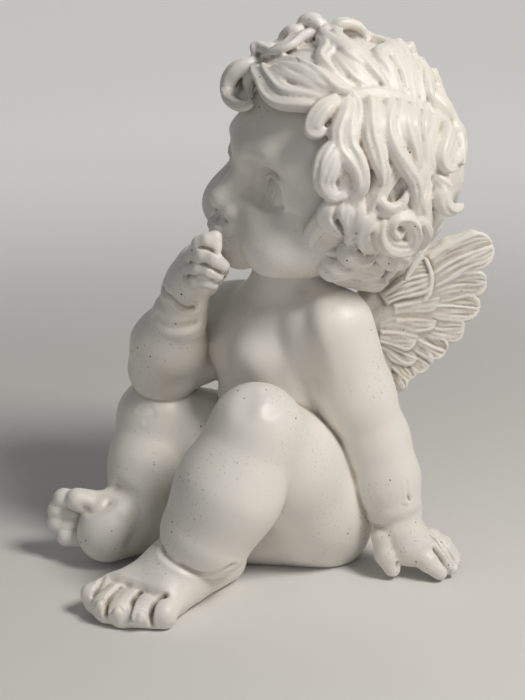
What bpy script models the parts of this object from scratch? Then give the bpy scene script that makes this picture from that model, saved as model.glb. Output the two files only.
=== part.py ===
"""Seated baby angel figurine: hollow resin torso with glued limbs, head, hair cap and wings.

Metres, +Z up. The origin is the centre of the seat on the table. The figure faces -X and -Y,
so the viewer at -Y sees its left side.
"""

import math

import bmesh
import bpy
from mathutils import Matrix, Vector

MM = 0.001


def place(x, y, z):
    """A point given in millimetres."""
    return Vector((x, y, z)) * MM


# Fits
FIT_GAP = 0.3 * MM
TABLE_HEIGHT = 0.0 * MM
FELT_THICKNESS = 1.0 * MM
FELT_RADIUS = 15.0 * MM
POUR_HOLE_RADIUS = 9.0 * MM
PLUG_DEPTH = 5.0 * MM
WALL_THICKNESS = 8.0 * MM

# Dowels: radius and the length let into each of the two castings
NECK_DOWEL_RADIUS = 4.0 * MM
NECK_DOWEL_REACH = 9.0 * MM
LIMB_DOWEL_RADIUS = 3.5 * MM
LIMB_DOWEL_REACH = 5.0 * MM
WRIST_DOWEL_RADIUS = 2.5 * MM
WRIST_DOWEL_REACH = 5.0 * MM
WING_DOWEL_RADIUS = 2.0 * MM
WING_DOWEL_REACH = 5.0 * MM

# Torso
TORSO_TURN = math.radians(50.0)
PELVIS = place(0.0, 0.0, 24.0)
PELVIS_HALF_WIDTH = 33.0 * MM
PELVIS_HALF_DEPTH = 28.0 * MM
PELVIS_HALF_HEIGHT = 30.0 * MM
BELLY = place(-9.0, -3.0, 62.0)
BELLY_HALF_WIDTH = 30.0 * MM
BELLY_HALF_DEPTH = 27.0 * MM
BELLY_HALF_HEIGHT = 29.0 * MM
CHEST = place(-11.0, -1.0, 92.0)
CHEST_HALF_WIDTH = 31.0 * MM
CHEST_HALF_DEPTH = 25.0 * MM
CHEST_HALF_HEIGHT = 26.0 * MM
NECK_ROOT = place(-9.0, -2.0, 108.0)
NECK_RADIUS = 18.0 * MM
COLLAR_RADIUS = 11.0 * MM
COLLAR_REACH = 0.5

# Left arm and hand, braced on the table
LEFT_SHOULDER = place(11.0, -25.0, 104.0)
LEFT_UPPER_ARM = place(20.0, -22.0, 75.0)
LEFT_ELBOW = place(28.0, -20.0, 56.0)
LEFT_FOREARM = place(33.0, -22.0, 40.0)
LEFT_WRIST = place(36.5, -27.0, 25.0)
SHOULDER_RADIUS = 16.5 * MM
UPPER_ARM_RADIUS = 15.5 * MM
ELBOW_RADIUS = 14.5 * MM
FOREARM_RADIUS = 13.6 * MM
WRIST_RADIUS = 10.5 * MM
LEFT_PALM = place(42.0, -29.0, 13.0)
LEFT_KNUCKLES = place(50.0, -28.0, 10.0)
PALM_RADIUS = 9.0 * MM
KNUCKLE_RADIUS = 7.2 * MM
FINGER_ROOT_RADIUS = 5.3 * MM
FINGER_RADIUS = 4.4 * MM
FINGERTIP_RADIUS = 3.7 * MM
FINGER_ROOT_SHARE = 0.35
FINGER_BEND_SHARE = 0.75
LEFT_FINGER_TIPS = (
    place(53.0, -38.0, 3.8),
    place(60.0, -33.0, 3.8),
    place(63.0, -25.0, 3.8),
    place(62.0, -17.0, 3.8),
)
LEFT_THUMB_ROOT = place(37.0, -30.0, 14.0)
LEFT_THUMB_TIP = place(36.0, -33.0, 3.8)
THUMB_ROOT_RADIUS = 6.6 * MM

# Right arm and hand, at the mouth
RIGHT_SHOULDER = place(-31.0, 22.0, 98.0)
RIGHT_ELBOW = place(-60.0, 2.0, 80.0)
RIGHT_FOREARM = place(-57.0, -8.0, 95.0)
RIGHT_WRIST = place(-50.0, -18.0, 112.0)
RIGHT_PALM = place(-43.0, -22.0, 126.0)
FIST_RADIUS = 9.0 * MM
CURLED_FINGER_RADIUS = 3.2 * MM
INDEX_PATH = (place(-44.0, -27.5, 134.5), place(-42.0, -35.0, 140.0), place(-36.0, -37.0, 143.0))
MIDDLE_PATH = (place(-45.0, -29.0, 133.0), place(-40.0, -37.0, 135.5), place(-33.0, -37.0, 132.0))
RING_PATH = (place(-46.5, -28.0, 128.5), place(-41.0, -36.5, 130.0), place(-35.5, -36.0, 128.0))
LITTLE_PATH = (place(-47.5, -27.0, 123.5), place(-42.5, -35.0, 125.0), place(-37.5, -34.5, 124.0))
RIGHT_THUMB_PATH = (place(-39.5, -20.0, 121.0), place(-34.5, -20.0, 126.5))

# Left leg and foot, flat on the table
LEFT_HIP = place(3.0, -18.0, 27.0)
LEFT_THIGH = place(-9.0, -31.0, 49.0)
LEFT_KNEE = place(-20.5, -48.0, 69.0)
LEFT_CALF = place(-32.0, -53.0, 46.0)
LEFT_ANKLE = place(-43.0, -53.0, 23.0)
HIP_RADIUS = 25.0 * MM
THIGH_RADIUS = 22.0 * MM
KNEE_RADIUS = 18.0 * MM
CALF_RADIUS = 21.0 * MM
ANKLE_RADIUS = 17.5 * MM
LEFT_HIP_DOWEL_SHARE = 0.5
LEFT_HEEL = place(-36.0, -40.0, 11.0)
LEFT_INSTEP = place(-51.0, -58.0, 16.0)
LEFT_FOOT_REACH = 68.0 * MM
LEFT_BALL_OUTER = place(-56.0, 0.0, 8.5) - Vector((0.0, LEFT_FOOT_REACH, 0.0))
LEFT_BALL_INNER = LEFT_BALL_OUTER + place(-21.0, 10.0, 0.5)
LEFT_BIG_TOE_TIP = LEFT_BALL_OUTER + place(-30.0, 4.0, -3.0)
LEFT_LITTLE_TOE_TIP = LEFT_BALL_OUTER + place(-3.0, -10.0, -3.5)
HEEL_RADIUS = 12.0 * MM
INSTEP_RADIUS = 14.0 * MM
FOOT_BALL_RADIUS = 9.0 * MM
TOE_RADIUS = 5.2 * MM
TOE_COUNT = 5
TOE_ARCH = 4.5 * MM

# Right leg and foot, standing on the outer edge with the sole turned to the viewer
RIGHT_HIP = place(-17.0, 22.0, 27.0)
RIGHT_KNEE = place(-63.0, 7.0, 58.0)
RIGHT_SHIN = place(-68.0, -1.0, 40.0)
RIGHT_ANKLE = place(-73.0, -7.0, 24.0)
SHIN_RADIUS = 15.5 * MM
RIGHT_ANKLE_RADIUS = 13.0 * MM
RIGHT_HIP_DOWEL_SHARE = 0.25
RIGHT_HEEL = place(-64.0, -2.0, 12.5)
RIGHT_FOOT_REACH = 83.0 * MM
RIGHT_FOOT_BALL = place(0.0, -19.0, 14.5) - Vector((RIGHT_FOOT_REACH, 0.0, 0.0))
RIGHT_FOOT_BALL_RADIUS = 13.5 * MM
LIMB_ROOT_INSET = 1.2 * MM
RIGHT_TOE_TIPS = (
    RIGHT_FOOT_BALL + place(-13.0, 2.0, 14.5),
    RIGHT_FOOT_BALL + place(-20.0, 6.0, 13.5),
    RIGHT_FOOT_BALL + place(-23.0, 7.0, 8.0),
    RIGHT_FOOT_BALL + place(-23.5, 6.0, 2.0),
    RIGHT_FOOT_BALL + place(-19.0, 4.0, -4.5),
)
RIGHT_TOE_TIP_RADIUS = 4.7 * MM
TOE_ROOT_SHARE = 0.35

# Head: its spots are measured left, forward and up from its centre
HEAD_HEIGHT = 163.0 * MM
HEAD_CENTRE = place(9.0, -5.0, 0.0) + Vector((0.0, 0.0, HEAD_HEIGHT))
NECK_TOP = HEAD_CENTRE + place(-13.0, 1.0, -36.0)
HEAD_TURN = math.radians(54.0)
HEAD_TILT_UP = math.radians(4.0)
HEAD_LEAN = math.radians(17.0)
FACE_TURN = math.radians(10.0)
SKULL_SPOT = place(0.0, 0.0, 6.0)
SKULL_HALF_WIDTH = 40.0 * MM
SKULL_HALF_DEPTH = 43.0 * MM
SKULL_HALF_HEIGHT = 41.0 * MM
JAW_SPOT = place(0.0, 10.0, -17.5)
JAW_HALF_WIDTH = 33.0 * MM
JAW_HALF_DEPTH = 30.0 * MM
JAW_HALF_HEIGHT = 24.0 * MM
CHEEK_SPOT = place(22.0, 29.0, -23.0)
CHEEK_RADIUS = 12.8 * MM
CHEEKBONE_SPOT = place(22.0, 17.0, -15.0)
CHEEKBONE_RADIUS = 14.0 * MM
JOWL_SPOT = place(17.0, 13.0, -28.0)
JOWL_RADIUS = 14.0 * MM
CHIN_SPOT = place(0.0, 31.5, -32.8)
CHIN_RADIUS = 9.5 * MM
EYE_SOCKET_SPOT = place(17.5, 44.5, -1.6)
EYE_SOCKET_HALF_WIDTH = 13.5 * MM
EYE_SOCKET_HALF_DEPTH = 9.6 * MM
EYE_SOCKET_HALF_HEIGHT = 8.4 * MM
NOSE_BRIDGE_SPOT = place(0.0, 38.0, -1.0)
NOSE_BRIDGE_RADIUS = 3.2 * MM
NOSE_TIP_SPOT = place(0.0, 45.2, -12.8)
NOSE_TIP_RADIUS = 4.8 * MM
NOSTRIL_SPOT = place(5.2, 42.6, -15.8)
NOSTRIL_RADIUS = 3.7 * MM
MUZZLE_SPOT = place(0.0, 36.5, -25.0)
MUZZLE_HALF_WIDTH = 12.5 * MM
MUZZLE_HALF_DEPTH = 8.5 * MM
MUZZLE_HALF_HEIGHT = 10.0 * MM
UPPER_LIP_SPOT = place(5.0, 42.0, -25.0)
LOWER_LIP_SPOT = place(4.0, 41.6, -30.0)
LIP_RADIUS = 3.4 * MM

# Hair: a lock has a width in mm and runs through places on the scalp, each given as
# degrees round to the left, degrees up from the eyes and mm out from the skull
HAIR_THICKNESS = 7.0 * MM
SCALP_BALL_RADIUS = 10.0 * MM
SCALP_BALLS_ROUND = 26
SCALP_BALLS_LEAST = 5
SCALP_RINGS = range(-50, 90, 14)
LOCK_RADIUS = 3.6 * MM
LOCK_TIP_SHARE = 0.6
FRINGE_LOCKS = (
    (6, ((-35, 39, 8), (-30, 31, 11), (-28, 21, 9), (-8, 22, 5), (1, 28, 4))),
    (14, ((-34, 41, 6), (-30, 27, 4), (-11, 27, 2))),
    (9, ((53, 45, 4), (33, 38, 6), (11, 36, 7), (-26, 39, 8))),
    (18, ((58, 50, 6), (35, 48, 8), (10, 48, 9), (-35, 43, 8))),
    (12, ((-30, 46, 5), (-44, 42, 8), (-46, 34, 9), (-44, 26, 8), (-34, 21, 6))),
    (16, ((-80, 66, 7), (-60, 60, 8), (-46, 52, 8), (-28, 42, 7))),
)
TOP_LOCKS = (
    (7, ((-59, 72, 11), (-40, 62, 11), (-17, 57, 11), (-27, 44, 10))),
    (9, ((-61, 73, 10), (19, 73, 9), (47, 65, 8), (77, 56, 6))),
    (6, ((-20, 78, 11), (39, 72, 10), (79, 61, 7), (88, 55, 6))),
    (8, ((-60, 72, 11), (-68, 77, 15), (-116, 81, 12), (-138, 83, 9))),
    (7, ((-54, 69, 11), (-47, 65, 17), (-44, 60, 14))),
    (5, ((-44, 62, 12), (-40, 57, 15), (-42, 55, 11))),
    (5, ((-25, 50, 9), (-36, 43, 13), (-33, 40, 11))),
    (18, ((-150, 72, 7), (-90, 72, 9), (-52, 58, 10), (-44, 50, 9))),
    (7, ((-139, 80, 10), (100, 77, 9), (97, 54, 6))),
    (7, ((-163, 78, 10), (125, 75, 9), (109, 52, 6))),
    (7, ((180, 75, 12), (149, 72, 9), (113, 50, 6))),
    (7, ((175, 71, 13), (170, 66, 9), (120, 48, 6))),
    (7, ((167, 64, 11), (155, 59, 8), (133, 43, 6))),
    (7, ((159, 58, 11), (151, 45, 8), (152, 36, 6))),
    (7, ((54, 44, 4), (75, 51, 5), (105, 49, 5), (142, 40, 5), (156, 33, 5))),
)
SIDE_LOCKS = (
    (7, ((56, 45, 4), (50, 39, 8), (47, 30, 9), (54, 28, 8))),
    (11, ((61, 47, 4), (62, 33, 8), (68, 19, 10), (74, 7, 9), (71, 3, 8))),
    (10, ((63, 26, 7), (58, 14, 10), (64, 2, 8), (69, 4, 8))),
    (9, ((75, 50, 4), (75, 35, 8), (82, 15, 9), (85, 8, 8))),
    (8, ((92, 50, 4), (84, 34, 9), (92, 19, 10), (102, 5, 9), (104, -3, 8))),
    (7, ((101, 50, 4), (92, 41, 8), (95, 27, 8))),
    (8, ((111, 47, 4), (97, 35, 9), (102, 18, 8))),
    (9, ((133, 41, 4), (113, 34, 7), (110, 22, 7), (118, 14, 6))),
    (6, ((133, 40, 4), (118, 27, 9), (117, 18, 11), (123, 17, 12))),
    (8, ((152, 37, 4), (150, 24, 9), (130, 18, 8))),
    (8, ((115, 12, 6), (118, 3, 11), (133, 0, 14))),
    (6, ((113, 14, 6), (121, 9, 10), (121, 4, 11))),
    (4, ((83, 4, 7), (91, 1, 9), (96, 9, 9))),
    (8, ((88, -5, 8), (90, -15, 10), (106, -18, 10), (103, -6, 10), (92, -6, 10))),
    (7, ((86, -3, 6), (81, -12, 8), (93, -23, 7))),
    (6, ((104, -2, 7), (119, -15, 9), (130, -27, 8))),
    (6, ((66, 0, 6), (63, -8, 8), (73, -19, 6))),
    (7, ((73, 1, 6), (75, -8, 8), (77, -22, 7))),
    (9, ((69, -37, 4), (80, -39, 7), (91, -31, 7))),
    (8, ((81, -24, 5), (80, -29, 6), (96, -29, 7))),
    (8, ((98, -26, 6), (118, -33, 8), (126, -29, 8))),
    (9, ((110, 12, 5), (107, 3, 7), (123, -11, 8))),
)
LEFT_TEMPLE = 56.0
RIGHT_TEMPLE = 62.0
BROW_HAIRLINE = 40.0
NAPE_HAIRLINE = -55.0
NAPE_BEND = math.radians(-15.0)
NAPE_DROP = 44.0 * MM
NAPE_TUCK = 0.3
NAPE_LOCK_COUNT = 6
NAPE_LOCK_START = 146.0
NAPE_LOCK_SPREAD = 84.0
NAPE_LOCK_WIDTH = 10.0
NAPE_LOCK_ROWS = ((52.0, 16.0), (24.0, -16.0), (-8.0, -48.0))
NAPE_LOCK_OUT = 7.0
NAPE_FLICK = 8.0
NAPE_FLICK_OUT = 10.0

# Wings: spread and rise are measured from the root, over the wing's own face
WING_SWEEP = math.radians(35.0)
WING_ROOT_BACK = 25.0 * MM
WING_ROOT_SIDE = 12.0 * MM
WING_ROOT_HEIGHT = 99.0 * MM
WING_ROOT_RADIUS = 7.0 * MM
WING_BEND_SPREAD = 36.0 * MM
WING_BEND_RISE = 24.0 * MM
WING_BEND_RADIUS = 4.0 * MM
WING_PALM_SPREAD = 25.0 * MM
WING_PALM_RISE = 5.0 * MM
WING_PALM_RADIUS = 19.0 * MM
WING_PALM_THICKNESS = 7.8 * MM
FEATHER_THICKNESS = 6.5 * MM
LONGEST_FEATHER = 52.0 * MM
SHORTEST_FEATHER = 31.0 * MM
FEATHER_COUNT = 7
FEATHER_FALL_OFF = 2.5
FIRST_FEATHER_ANGLE = math.radians(41.0)
LAST_FEATHER_ANGLE = math.radians(-97.0)
FEATHER_WIDTH = 17.0 * MM

# Mesh fineness: each casting's triangles and rounds of softening
FUSE_SIZE = 1.6 * MM
BALL_SUBDIVISION_COUNT = 3
HULL_SUBDIVISION_COUNT = 2
SOFTENING_FACTOR = 0.5
ROUND_SIDES = 32
TABLE_CUT_SIZE = 400.0 * MM
FINENESS = {
    "torso": (900, 6),
    "torso_hollow": (260, 4),
    "head": (1900, 2),
    "hair": (6000, 1),
    "left_arm": (420, 5),
    "right_arm": (420, 5),
    "left_hand": (600, 2),
    "right_hand": (560, 2),
    "left_leg": (560, 5),
    "right_leg": (480, 5),
    "left_foot": (640, 2),
    "right_foot": (560, 2),
    "left_wing": (560, 1),
    "right_wing": (560, 1),
}

# Directions of the torso and the head
torso_forward = Vector((-math.sin(TORSO_TURN), -math.cos(TORSO_TURN), 0.0))
torso_left = Vector((math.cos(TORSO_TURN), -math.sin(TORSO_TURN), 0.0))
torso_axes = Matrix((torso_left, -torso_forward, Vector((0.0, 0.0, 1.0)))).transposed()


def head_directions():
    """The head's left, forward and up directions after its turn, tilt, lean and the face's own turn."""
    flat_forward = Vector((-math.sin(HEAD_TURN), -math.cos(HEAD_TURN), 0.0))
    flat_left = Vector((math.cos(HEAD_TURN), -math.sin(HEAD_TURN), 0.0))
    forward = flat_forward * math.cos(HEAD_TILT_UP) + Vector((0.0, 0.0, math.sin(HEAD_TILT_UP)))
    up = flat_left.cross(forward) * -1.0
    lean = Matrix.Rotation(-HEAD_LEAN, 3, forward)
    left = lean @ flat_left
    face_left = left * math.cos(FACE_TURN) + forward * math.sin(FACE_TURN)
    face_forward = forward * math.cos(FACE_TURN) - left * math.sin(FACE_TURN)
    return face_left, face_forward, lean @ up


head_left, head_forward, head_up = head_directions()
head_axes = Matrix((head_left, head_forward, head_up)).transposed()


def head_point(spot, side=1.0):
    """Where a spot of the head lies; side is -1 for its twin on the right."""
    return HEAD_CENTRE + head_axes @ Vector((spot.x * side, spot.y, spot.z))


# Modelling helpers
def add_ball(lumps, centre, radius):
    bmesh.ops.create_icosphere(
        lumps, subdivisions=BALL_SUBDIVISION_COUNT, radius=radius, matrix=Matrix.Translation(centre)
    )


def add_egg(lumps, centre, half_sizes, axes):
    """A ball with its own half size along each of three directions."""
    stretch = Matrix.Diagonal(half_sizes).to_4x4()
    turn = Matrix.Translation(centre) @ axes.to_4x4() @ stretch
    bmesh.ops.create_icosphere(lumps, subdivisions=BALL_SUBDIVISION_COUNT, radius=1.0, matrix=turn)


def add_hull(lumps, points):
    """The tightest skin round a cloud of points."""
    hull = bmesh.new()
    corners = [hull.verts.new(point) for point in points]
    made = bmesh.ops.convex_hull(hull, input=corners)
    spare = [item for item in made["geom_interior"] if isinstance(item, bmesh.types.BMVert)]
    bmesh.ops.delete(hull, geom=spare, context="VERTS")
    bmesh.ops.recalc_face_normals(hull, faces=hull.faces)
    patch = bpy.data.meshes.new("hull")
    hull.to_mesh(patch)
    hull.free()
    lumps.from_mesh(patch)
    bpy.data.meshes.remove(patch)


def ball_points(centre, radius):
    ball = bmesh.new()
    spot = Matrix.Translation(centre)
    bmesh.ops.create_icosphere(ball, subdivisions=HULL_SUBDIVISION_COUNT, radius=radius, matrix=spot)
    points = [corner.co.copy() for corner in ball.verts]
    ball.free()
    return points


def add_limb(lumps, *stations):
    """Rounded tapering lengths through stations of (centre, radius)."""
    for (start, start_radius), (end, end_radius) in zip(stations, stations[1:]):
        add_hull(lumps, ball_points(start, start_radius) + ball_points(end, end_radius))


def link(name, mesh):
    thing = bpy.data.objects.new(name, mesh)
    bpy.context.scene.collection.objects.link(thing)
    return thing


def evaluated_mesh(thing):
    graph = bpy.context.evaluated_depsgraph_get()
    graph.update()
    return bpy.data.meshes.new_from_object(thing.evaluated_get(graph))


def casting(name, lumps):
    """Fuses overlapping lumps into one skin, then softens and thins it."""
    triangles, softening = FINENESS[name]
    mesh = bpy.data.meshes.new(name)
    lumps.to_mesh(mesh)
    lumps.free()
    thing = link(name, mesh)
    fuse = thing.modifiers.new("fuse", "REMESH")
    fuse.mode = "VOXEL"
    fuse.voxel_size = FUSE_SIZE
    soften = thing.modifiers.new("soften", "SMOOTH")
    soften.factor = SOFTENING_FACTOR
    soften.iterations = softening
    fine = evaluated_mesh(thing)
    thin = thing.modifiers.new("thin", "DECIMATE")
    thin.ratio = min(1.0, triangles / (2.0 * len(fine.polygons)))
    thing.data = evaluated_mesh(thing)
    thing.modifiers.clear()
    thing.data.name = name
    return thing


def as_cutter(thing):
    thing.hide_render = True
    thing.display_type = "WIRE"
    return thing


def clearance_of(thing):
    """A hidden copy of a casting's skin, swollen by the fit gap."""
    swollen = bmesh.new()
    swollen.from_mesh(thing.data)
    swollen.normal_update()
    for corner in swollen.verts:
        corner.co += corner.normal * FIT_GAP
    mesh = bpy.data.meshes.new(thing.name + "_clearance")
    swollen.to_mesh(mesh)
    swollen.free()
    return as_cutter(link(mesh.name, mesh))


def cut(thing, *cutters):
    for cutter in cutters:
        trim = thing.modifiers.new("trim_" + cutter.name, "BOOLEAN")
        trim.operation = "DIFFERENCE"
        trim.solver = "EXACT"
        trim.object = cutter


def rod_mesh(name, start, end, radius, segments=16):
    """A round bar between two points."""
    bar = bmesh.new()
    along = end - start
    turn = along.to_track_quat("Z", "Y").to_matrix().to_4x4()
    middle = Matrix.Translation((start + end) / 2.0)
    bmesh.ops.create_cone(
        bar, cap_ends=True, segments=segments, radius1=radius, radius2=radius, depth=along.length,
        matrix=middle @ turn,
    )
    mesh = bpy.data.meshes.new(name)
    bar.to_mesh(mesh)
    bar.free()
    return link(name, mesh)


def dowel(name, seam, towards, radius, reach, first, second):
    """A steel dowel across a seam, with its bore in both castings."""
    along = towards.normalized()
    pin = rod_mesh(name, seam - along * reach, seam + along * reach, radius)
    bore_reach = reach + FIT_GAP
    bore = rod_mesh(name + "_bore", seam - along * bore_reach, seam + along * bore_reach, radius + FIT_GAP)
    as_cutter(bore)
    cut(first, bore)
    cut(second, bore)
    return pin


def finish(thing, material):
    thing.data.materials.clear()
    thing.data.materials.append(material)
    thing.data.shade_smooth()


def paint(name, colour, roughness, metallic):
    material = bpy.data.materials.new(name)
    material.use_nodes = True
    shader = material.node_tree.nodes["Principled BSDF"]
    shader.inputs["Base Color"].default_value = (*colour, 1.0)
    shader.inputs["Roughness"].default_value = roughness
    shader.inputs["Metallic"].default_value = metallic
    return material


# Castings
def egg_points(centre, half_sizes):
    """Points all over one of the torso's eggs."""
    ball = ball_points(Vector(), 1.0)
    return [centre + torso_axes @ Vector(a * b for a, b in zip(point, half_sizes)) for point in ball]


def egg_surface(centre, half_sizes, aim):
    """Where the line from a torso egg's centre towards a point leaves that egg."""
    along = (aim - centre).normalized()
    local = torso_axes.transposed() @ along
    share = math.sqrt(sum((part / half) ** 2 for part, half in zip(local, half_sizes)))
    return centre + along / share


def torso_eggs(inset):
    return (
        (PELVIS, (PELVIS_HALF_WIDTH - inset, PELVIS_HALF_DEPTH - inset, PELVIS_HALF_HEIGHT - inset)),
        (BELLY, (BELLY_HALF_WIDTH - inset, BELLY_HALF_DEPTH - inset, BELLY_HALF_HEIGHT - inset)),
        (CHEST, (CHEST_HALF_WIDTH - inset, CHEST_HALF_DEPTH - inset, CHEST_HALF_HEIGHT - inset)),
    )


def make_torso():
    lumps = bmesh.new()
    eggs = [egg_points(centre, half_sizes) for centre, half_sizes in torso_eggs(0.0)]
    for lower, upper in zip(eggs, eggs[1:]):
        add_hull(lumps, lower + upper)
    add_limb(lumps, (NECK_ROOT, NECK_RADIUS), (NECK_TOP, NECK_RADIUS))
    for shoulder in (LEFT_SHOULDER, RIGHT_SHOULDER):
        add_limb(lumps, (NECK_ROOT, COLLAR_RADIUS), (NECK_ROOT.lerp(shoulder, COLLAR_REACH), COLLAR_RADIUS))
    return casting("torso", lumps)


def make_hollow():
    """The torso's inside and its pour hole, as one cutter."""
    lumps = bmesh.new()
    for centre, half_sizes in torso_eggs(WALL_THICKNESS):
        add_egg(lumps, centre, half_sizes, torso_axes)
    hollow = as_cutter(casting("torso_hollow", lumps))
    seat = PELVIS.copy()
    seat.z = TABLE_HEIGHT - PLUG_DEPTH
    hole = as_cutter(rod_mesh("pour_hole", seat, PELVIS, POUR_HOLE_RADIUS, ROUND_SIDES))
    return hollow, hole


def make_arm(name, stations):
    lumps = bmesh.new()
    add_limb(lumps, *stations)
    return casting(name, lumps)


def make_left_hand():
    lumps = bmesh.new()
    root_radius = WRIST_RADIUS - LIMB_ROOT_INSET
    add_limb(lumps, (LEFT_WRIST, root_radius), (LEFT_PALM, PALM_RADIUS), (LEFT_KNUCKLES, KNUCKLE_RADIUS))
    for tip in LEFT_FINGER_TIPS:
        root = LEFT_PALM.lerp(tip, FINGER_ROOT_SHARE)
        root.z = LEFT_PALM.z
        bend = LEFT_PALM.lerp(tip, FINGER_BEND_SHARE)
        bend.z = LEFT_KNUCKLES.z
        add_limb(lumps, (root, FINGER_ROOT_RADIUS), (bend, FINGER_RADIUS), (tip, FINGERTIP_RADIUS))
    add_limb(lumps, (LEFT_THUMB_ROOT, THUMB_ROOT_RADIUS), (LEFT_THUMB_TIP, FINGER_RADIUS))
    return casting("left_hand", lumps)


def make_right_hand():
    lumps = bmesh.new()
    add_limb(lumps, (RIGHT_WRIST, WRIST_RADIUS - LIMB_ROOT_INSET), (RIGHT_PALM, FIST_RADIUS))
    for path in (INDEX_PATH, MIDDLE_PATH, RING_PATH, LITTLE_PATH, RIGHT_THUMB_PATH):
        add_limb(lumps, *((joint, CURLED_FINGER_RADIUS) for joint in path))
    return casting("right_hand", lumps)


def make_left_leg():
    lumps = bmesh.new()
    add_limb(
        lumps,
        (LEFT_HIP, HIP_RADIUS),
        (LEFT_THIGH, THIGH_RADIUS),
        (LEFT_KNEE, KNEE_RADIUS),
        (LEFT_CALF, CALF_RADIUS),
        (LEFT_ANKLE, ANKLE_RADIUS),
    )
    return casting("left_leg", lumps)


def make_left_foot():
    lumps = bmesh.new()
    add_hull(
        lumps,
        ball_points(LEFT_HEEL, HEEL_RADIUS)
        + ball_points(LEFT_INSTEP, INSTEP_RADIUS)
        + ball_points(LEFT_BALL_INNER, FOOT_BALL_RADIUS)
        + ball_points(LEFT_BALL_OUTER, FOOT_BALL_RADIUS),
    )
    across = LEFT_LITTLE_TOE_TIP - LEFT_BIG_TOE_TIP
    ahead = Vector((across.y, -across.x, 0.0)).normalized()
    for toe in range(TOE_COUNT):
        share = toe / (TOE_COUNT - 1)
        root = LEFT_BALL_INNER.lerp(LEFT_BALL_OUTER, share)
        tip = LEFT_BIG_TOE_TIP + across * share + ahead * (TOE_ARCH * math.sin(math.pi * share))
        add_limb(lumps, (root, TOE_RADIUS), (tip, TOE_RADIUS))
    return casting("left_foot", lumps)


def make_right_leg():
    lumps = bmesh.new()
    add_limb(
        lumps,
        (RIGHT_HIP, HIP_RADIUS),
        (RIGHT_KNEE, KNEE_RADIUS),
        (RIGHT_SHIN, SHIN_RADIUS),
        (RIGHT_ANKLE, RIGHT_ANKLE_RADIUS),
    )
    return casting("right_leg", lumps)


def make_right_foot():
    lumps = bmesh.new()
    add_limb(lumps, (RIGHT_ANKLE, RIGHT_ANKLE_RADIUS - LIMB_ROOT_INSET), (RIGHT_HEEL, HEEL_RADIUS))
    add_limb(lumps, (RIGHT_HEEL, HEEL_RADIUS), (RIGHT_FOOT_BALL, RIGHT_FOOT_BALL_RADIUS))
    for tip in RIGHT_TOE_TIPS:
        root = RIGHT_FOOT_BALL.lerp(tip, TOE_ROOT_SHARE)
        add_limb(lumps, (root, TOE_RADIUS), (tip, RIGHT_TOE_TIP_RADIUS))
    return casting("right_foot", lumps)


def make_head():
    lumps = bmesh.new()
    add_egg(lumps, head_point(SKULL_SPOT), (SKULL_HALF_WIDTH, SKULL_HALF_DEPTH, SKULL_HALF_HEIGHT), head_axes)
    add_egg(lumps, head_point(JAW_SPOT), (JAW_HALF_WIDTH, JAW_HALF_DEPTH, JAW_HALF_HEIGHT), head_axes)
    for side in (-1.0, 1.0):
        cheek = ball_points(head_point(CHEEK_SPOT, side), CHEEK_RADIUS)
        cheekbone = ball_points(head_point(CHEEKBONE_SPOT, side), CHEEKBONE_RADIUS)
        jowl = ball_points(head_point(JOWL_SPOT, side), JOWL_RADIUS)
        add_hull(lumps, cheek + cheekbone + jowl)
        add_ball(lumps, head_point(NOSTRIL_SPOT, side), NOSTRIL_RADIUS)
    muzzle = (MUZZLE_HALF_WIDTH, MUZZLE_HALF_DEPTH, MUZZLE_HALF_HEIGHT)
    add_egg(lumps, head_point(MUZZLE_SPOT), muzzle, head_axes)
    add_ball(lumps, head_point(CHIN_SPOT), CHIN_RADIUS)
    add_limb(
        lumps,
        (head_point(NOSE_BRIDGE_SPOT), NOSE_BRIDGE_RADIUS),
        (head_point(NOSE_TIP_SPOT), NOSE_TIP_RADIUS),
    )
    for lip in (UPPER_LIP_SPOT, LOWER_LIP_SPOT):
        add_limb(lumps, (head_point(lip, -1.0), LIP_RADIUS), (head_point(lip), LIP_RADIUS))
    return casting("head", lumps)


def make_eye_sockets():
    """The two hollows under the brow."""
    lumps = bmesh.new()
    sizes = (EYE_SOCKET_HALF_WIDTH, EYE_SOCKET_HALF_DEPTH, EYE_SOCKET_HALF_HEIGHT)
    for side in (-1.0, 1.0):
        add_egg(lumps, head_point(EYE_SOCKET_SPOT, side), sizes, head_axes)
    bmesh.ops.recalc_face_normals(lumps, faces=lumps.faces)
    mesh = bpy.data.meshes.new("eye_sockets")
    lumps.to_mesh(mesh)
    lumps.free()
    return as_cutter(link("eye_sockets", mesh))


def scalp_point(around, above, out):
    """A place on the scalp, round to the left, up from the eyes and out from the skull.

    Below the bend of the nape it hangs nearly straight down.
    """
    bent = max(above, NAPE_BEND)
    below = bent - above
    flat = math.cos(bent) * (1.0 - NAPE_TUCK * below)
    across = math.sin(around) * flat * (SKULL_HALF_WIDTH + out)
    ahead = math.cos(around) * flat * (SKULL_HALF_DEPTH + out)
    height = math.sin(bent) * (SKULL_HALF_HEIGHT + out) - NAPE_DROP * below
    return head_point(SKULL_SPOT + Vector((across, ahead, height)))


def hairline(around):
    """The lowest angle of the hair: high over the brow, and down to the nape behind the temples."""
    temple = LEFT_TEMPLE if around > 0.0 else RIGHT_TEMPLE
    behind = abs(math.degrees(around)) > temple
    return math.radians(NAPE_HAIRLINE if behind else BROW_HAIRLINE)


def right_side_locks():
    """The left side's locks mirrored, without those in front of the right temple."""
    for width, path in SIDE_LOCKS:
        if min(around for around, _, _ in path) >= RIGHT_TEMPLE:
            yield width, tuple((-around, above, out) for around, above, out in path)


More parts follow.
